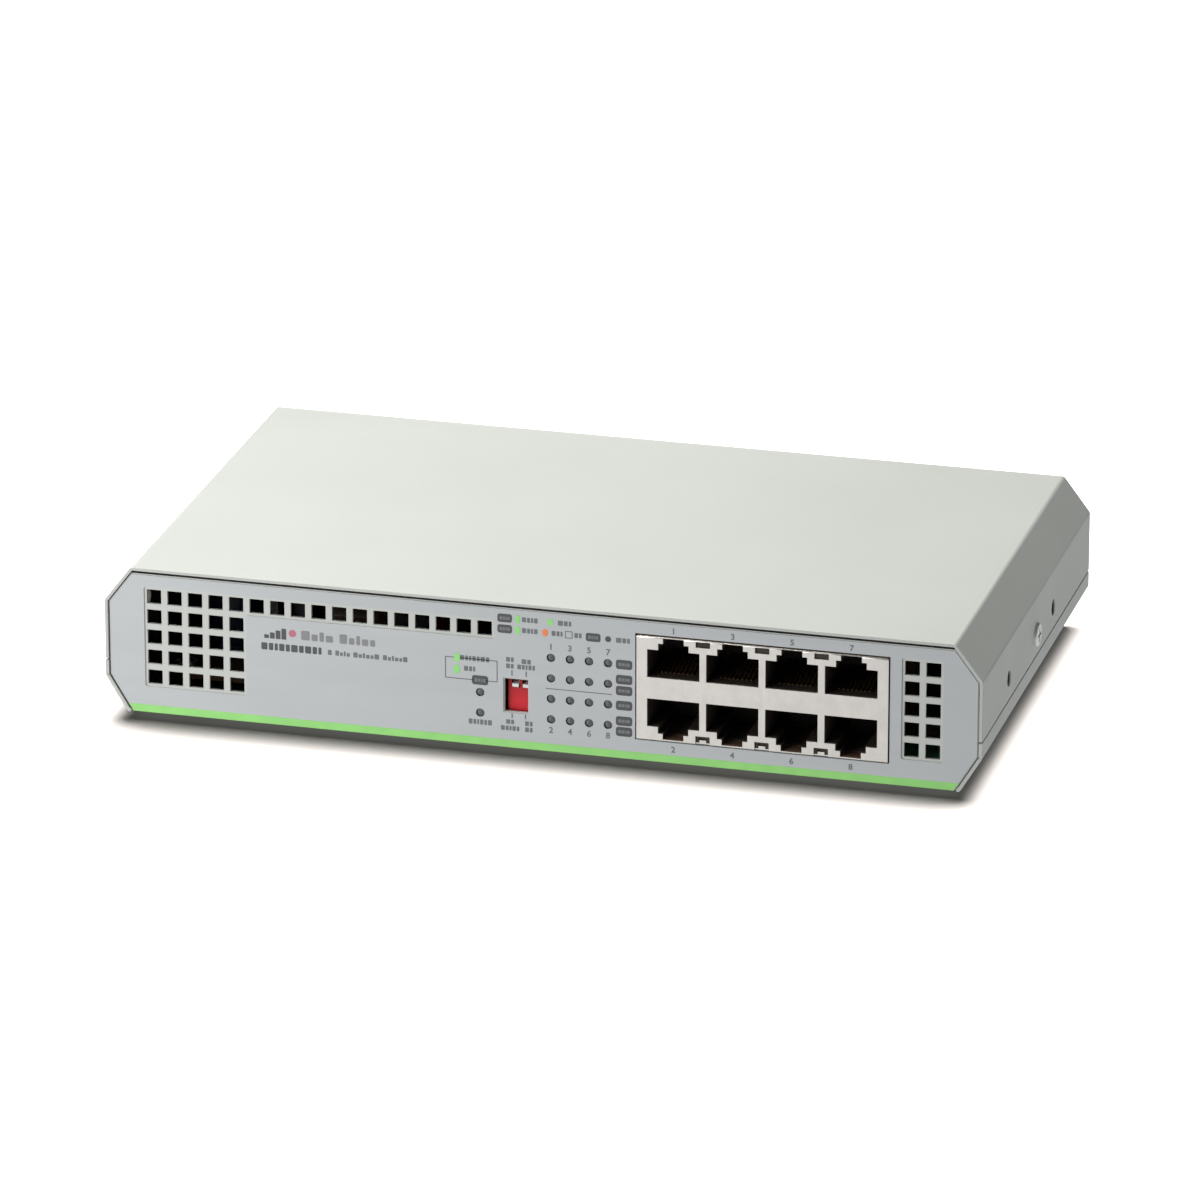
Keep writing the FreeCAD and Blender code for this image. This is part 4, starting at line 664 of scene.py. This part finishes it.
def print_colour_marks():
    """Green and orange round-ended marks in the header and on the status box."""
    header_x = -5.0 * MM
    greens = [
        (header_x, HEADER_TOP_Z, 1.1, 2.0), (header_x, HEADER_LOW_Z, 1.1, 2.0),
        (2.77 * MM, HEADER_TOP_Z, 1.4, 1.7), (STATUS_X - 5.5 * MM, STATUS_BOX_TOP, 1.35, 2.2),
        (STATUS_X - 5.6 * MM, STATUS_BOX_TOP - 2.9 * MM, 1.5, 2.2),
    ]
    corner = 0.7 * MM
    shapes = [rounded_box(x, z, w * MM, h * MM, corner) for x, z, w, h in greens]
    printed("green_marks", shapes, ink("ink_green", MARK_GREEN), 0.6 * PROUD)
    orange = rounded_box(1.57 * MM, HEADER_LOW_Z, 1.4 * MM, 1.8 * MM, corner)
    printed("orange_mark", [orange], ink("ink_orange", MARK_ORANGE))


def print_numbers(material):
    """Numbers of the ports, over and under the lamps and round the sockets."""
    for column in range(4):
        odd = str(2 * column + 1)
        even = str(2 * column + 2)
        x = LAMP_X[column]
        numeral(f"lamp_number_{odd}", odd, x, LAMP_Z[0] + 2.75 * MM, 1.45 * MM, material)
        numeral(f"lamp_number_{even}", even, x, LAMP_Z[3] - 2.6 * MM, 1.45 * MM, material)
        x = JACK_X + (column - 1.5) * SOCKET_PITCH
        numeral(f"port_number_{odd}", odd, x, JACK_HIGH.z + 1.65 * MM, 1.4 * MM, material)
        numeral(f"port_number_{even}", even, x, 5.5 * MM, 1.4 * MM, material)


def print_plain_name(dark, grey):
    """A plain symbol of rising bars with a dot, and blocks in place of words."""
    base = 23.5 * MM
    bars = [(-65.6 * MM + 1.4 * MM * step, (0.9 + 0.6 * step) * MM) for step in range(4)]
    symbol = [rounded_box(x, base + tall / 2, 1.15 * MM, tall, 0.15 * MM) for x, tall in bars]
    printed("plain_symbol", symbol, dark)
    dot = disc(-59.3 * MM, 25.2 * MM, 0.9 * MM)
    printed("plain_symbol_end", [dot], ink("ink_rose", INK_ROSE))
    title = []
    for x, width in ((-53.35, 7.7), (-43.6, 8.6)):
        title += greeked(x * MM, 25.0 * MM, width * MM, 2.3 * MM, 0.7)
    printed("plain_title", title, ink("ink_soft", INK_SOFT))
    printed("plain_name", greeked(-59.6 * MM, 21.5 * MM, 14.6 * MM, 1.75 * MM), dark)
    words = []
    for x, width in ((-50.3, 0.9), (-47.2, 3.5), (-41.5, 6.2), (-34.5, 5.9)):
        words += greeked(x * MM, 21.4 * MM, width * MM, 1.25 * MM, 0.72)
    printed("plain_words", words, grey)


def print_front():
    """Every mark on the front film."""
    dark = ink("ink_dark", INK_DARK)
    grey = ink("ink_grey", INK_GREY)
    stripe = stripe_outline(FILM_LOW.z, FILM_LOW.z + STRIPE_HEIGHT)
    printed("stripe_green", [stripe], ink("ink_stripe", STRIPE_GREEN))
    pills = pill_places()
    boxes = [rounded_box(x, z, width, 0.59 * width, 0.16 * width) for x, z, width in pills]
    printed("pills", boxes, dark)
    words = []
    for x, z, width in pills:
        words += greeked(x, z, 0.68 * width, 0.75 * MM)
    printed("pill_words", words, ink("ink_pale", INK_PALE), PROUD, 0.015 * MM)
    legends = header_legend() + status_legend() + [lamp_divider()] + switch_legend()
    printed("legend_words", legends, grey)
    printed("round_mark", [disc(16.57 * MM, HEADER_LOW_Z - 0.15 * MM, 0.72 * MM)], dark)
    print_colour_marks()
    print_numbers(grey)
    print_plain_name(dark, grey)


# ---------------------------------------------------------------- stage

def make_floor():
    """A plain, faintly mottled floor that its own lights make pale; it gives no light back."""
    look = Look("floor_paper")
    mottle = look.spread(look.noise(60 * MM), 0.0, 1.0)
    base = look.mix(mottle, (0.188, 0.179, 0.17), (0.193, 0.184, 0.175))
    rough = look.spread(look.noise(20 * MM), 0.7, 0.85)
    material = look.finish(base, rough, look.bump(look.noise(0.8 * MM), 0.02 * MM, 0.2))
    mesh = bmesh.new()
    half = 3.0
    corners = [(-half, -half), (half, -half), (half, half), (-half, half)]
    mesh.faces.new([mesh.verts.new((x, y, 0.0)) for x, y in corners])
    data = bpy.data.meshes.new("floor")
    mesh.to_mesh(data)
    mesh.free()
    data.materials.append(material)
    floor = bpy.data.objects.new("floor", data)
    bpy.context.scene.collection.objects.link(floor)
    floor.visible_diffuse = False
    floor.visible_glossy = False
    floor.visible_shadow = False
    return floor


def area_light(name, direction, distance, size, power, colour):
    """A square soft light that points at the object."""
    data = bpy.data.lights.new(name, "AREA")
    data.shape = "SQUARE"
    data.size = size
    data.energy = power
    data.color = colour
    light = bpy.data.objects.new(name, data)
    way = Vector(direction).normalized()
    light.location = way * distance
    light.rotation_mode = "QUATERNION"
    light.rotation_quaternion = way.to_track_quat("Z", "Y")
    bpy.context.scene.collection.objects.link(light)
    return light


def share_floor(light, floor, state):
    """Let a light reach only the floor, or all but the floor."""
    receivers = bpy.data.collections.new(light.name + "_receivers")
    receivers.objects.link(floor)
    receivers.collection_objects[0].light_linking.link_state = state
    light.light_linking.receiver_collection = receivers


def make_light(floor):
    """A near key at the upper left, weak lights on the front and right, two lights for the floor."""
    for name, direction, distance, size, power, colour in (
        ("key", (-0.36, 0.06, 0.9), 0.8, 0.45, 8.15, (1.0, 1.0, 0.985)),
        ("fill", (-0.62, -0.75, 0.22), 0.6, 0.4, 3.0, (1.0, 1.0, 1.0)),
        ("side_light", (0.8, 0.1, 0.6), 1.0, 0.7, 0.6, (1.0, 1.0, 1.0)),
    ):
        share_floor(area_light(name, direction, distance, size, power, colour), floor, "EXCLUDE")
    for side, across in (("left", -0.27), ("right", 0.27)):
        direction = (across, 0.182, 0.945)
        light = area_light("floor_light_" + side, direction, 1.5, 0.64, 143.0, (1.0, 0.985, 0.98))
        share_floor(light, floor, "INCLUDE")


def make_surround():
    """A plain room: bright below the horizon, as a pale floor would be, and dim above it."""
    world = bpy.data.worlds.new("surround")
    world.use_nodes = True
    nodes = world.node_tree.nodes
    links = world.node_tree.links
    place = nodes.new("ShaderNodeTexCoord")
    parts = nodes.new("ShaderNodeSeparateXYZ")
    height = nodes.new("ShaderNodeMapRange")
    for key, value in (("From Min", 0.02), ("From Max", 0.08), ("To Min", 0.8), ("To Max", 0.07)):
        height.inputs[key].default_value = value
    background = nodes["Background"]
    background.inputs["Color"].default_value = (0.97, 0.98, 1.0, 1.0)
    links.new(place.outputs["Generated"], parts.inputs[0])
    links.new(parts.outputs[2], height.inputs["Value"])
    links.new(height.outputs[0], background.inputs["Strength"])
    bpy.context.scene.world = world
    bpy.context.scene.view_settings.view_transform = "Standard"


def make_camera():
    """A long lens at the height and bearing that show the front, the top and the right side."""
    bearing = math.radians(14.93)
    height = math.radians(20.47)
    level = math.cos(height)
    back = Vector((math.sin(bearing) * level, -math.cos(bearing) * level, math.sin(height)))
    target = Vector((14.74 * MM, cad_box[0].y, 40.78 * MM))
    reach = 1.9805
    data = bpy.data.cameras.new("camera")
    data.sensor_width = 36.0
    data.lens = 258.8
    data.clip_start = 0.05
    data.clip_end = 20.0
    camera = bpy.data.objects.new("camera", data)
    camera.location = target + back * reach
    camera.rotation_mode = "QUATERNION"
    camera.rotation_quaternion = (-back).to_track_quat("-Z", "Y")
    bpy.context.scene.collection.objects.link(camera)
    bpy.context.scene.camera = camera


dress_packed_pieces()
for node_name in ("top_cover", "base_chassis"):
    soften_edges(node_name, 0.12 * MM)
soften_edges("jack_shield", 0.05 * MM)
print_front()
make_light(make_floor())
make_surround()
make_camera()
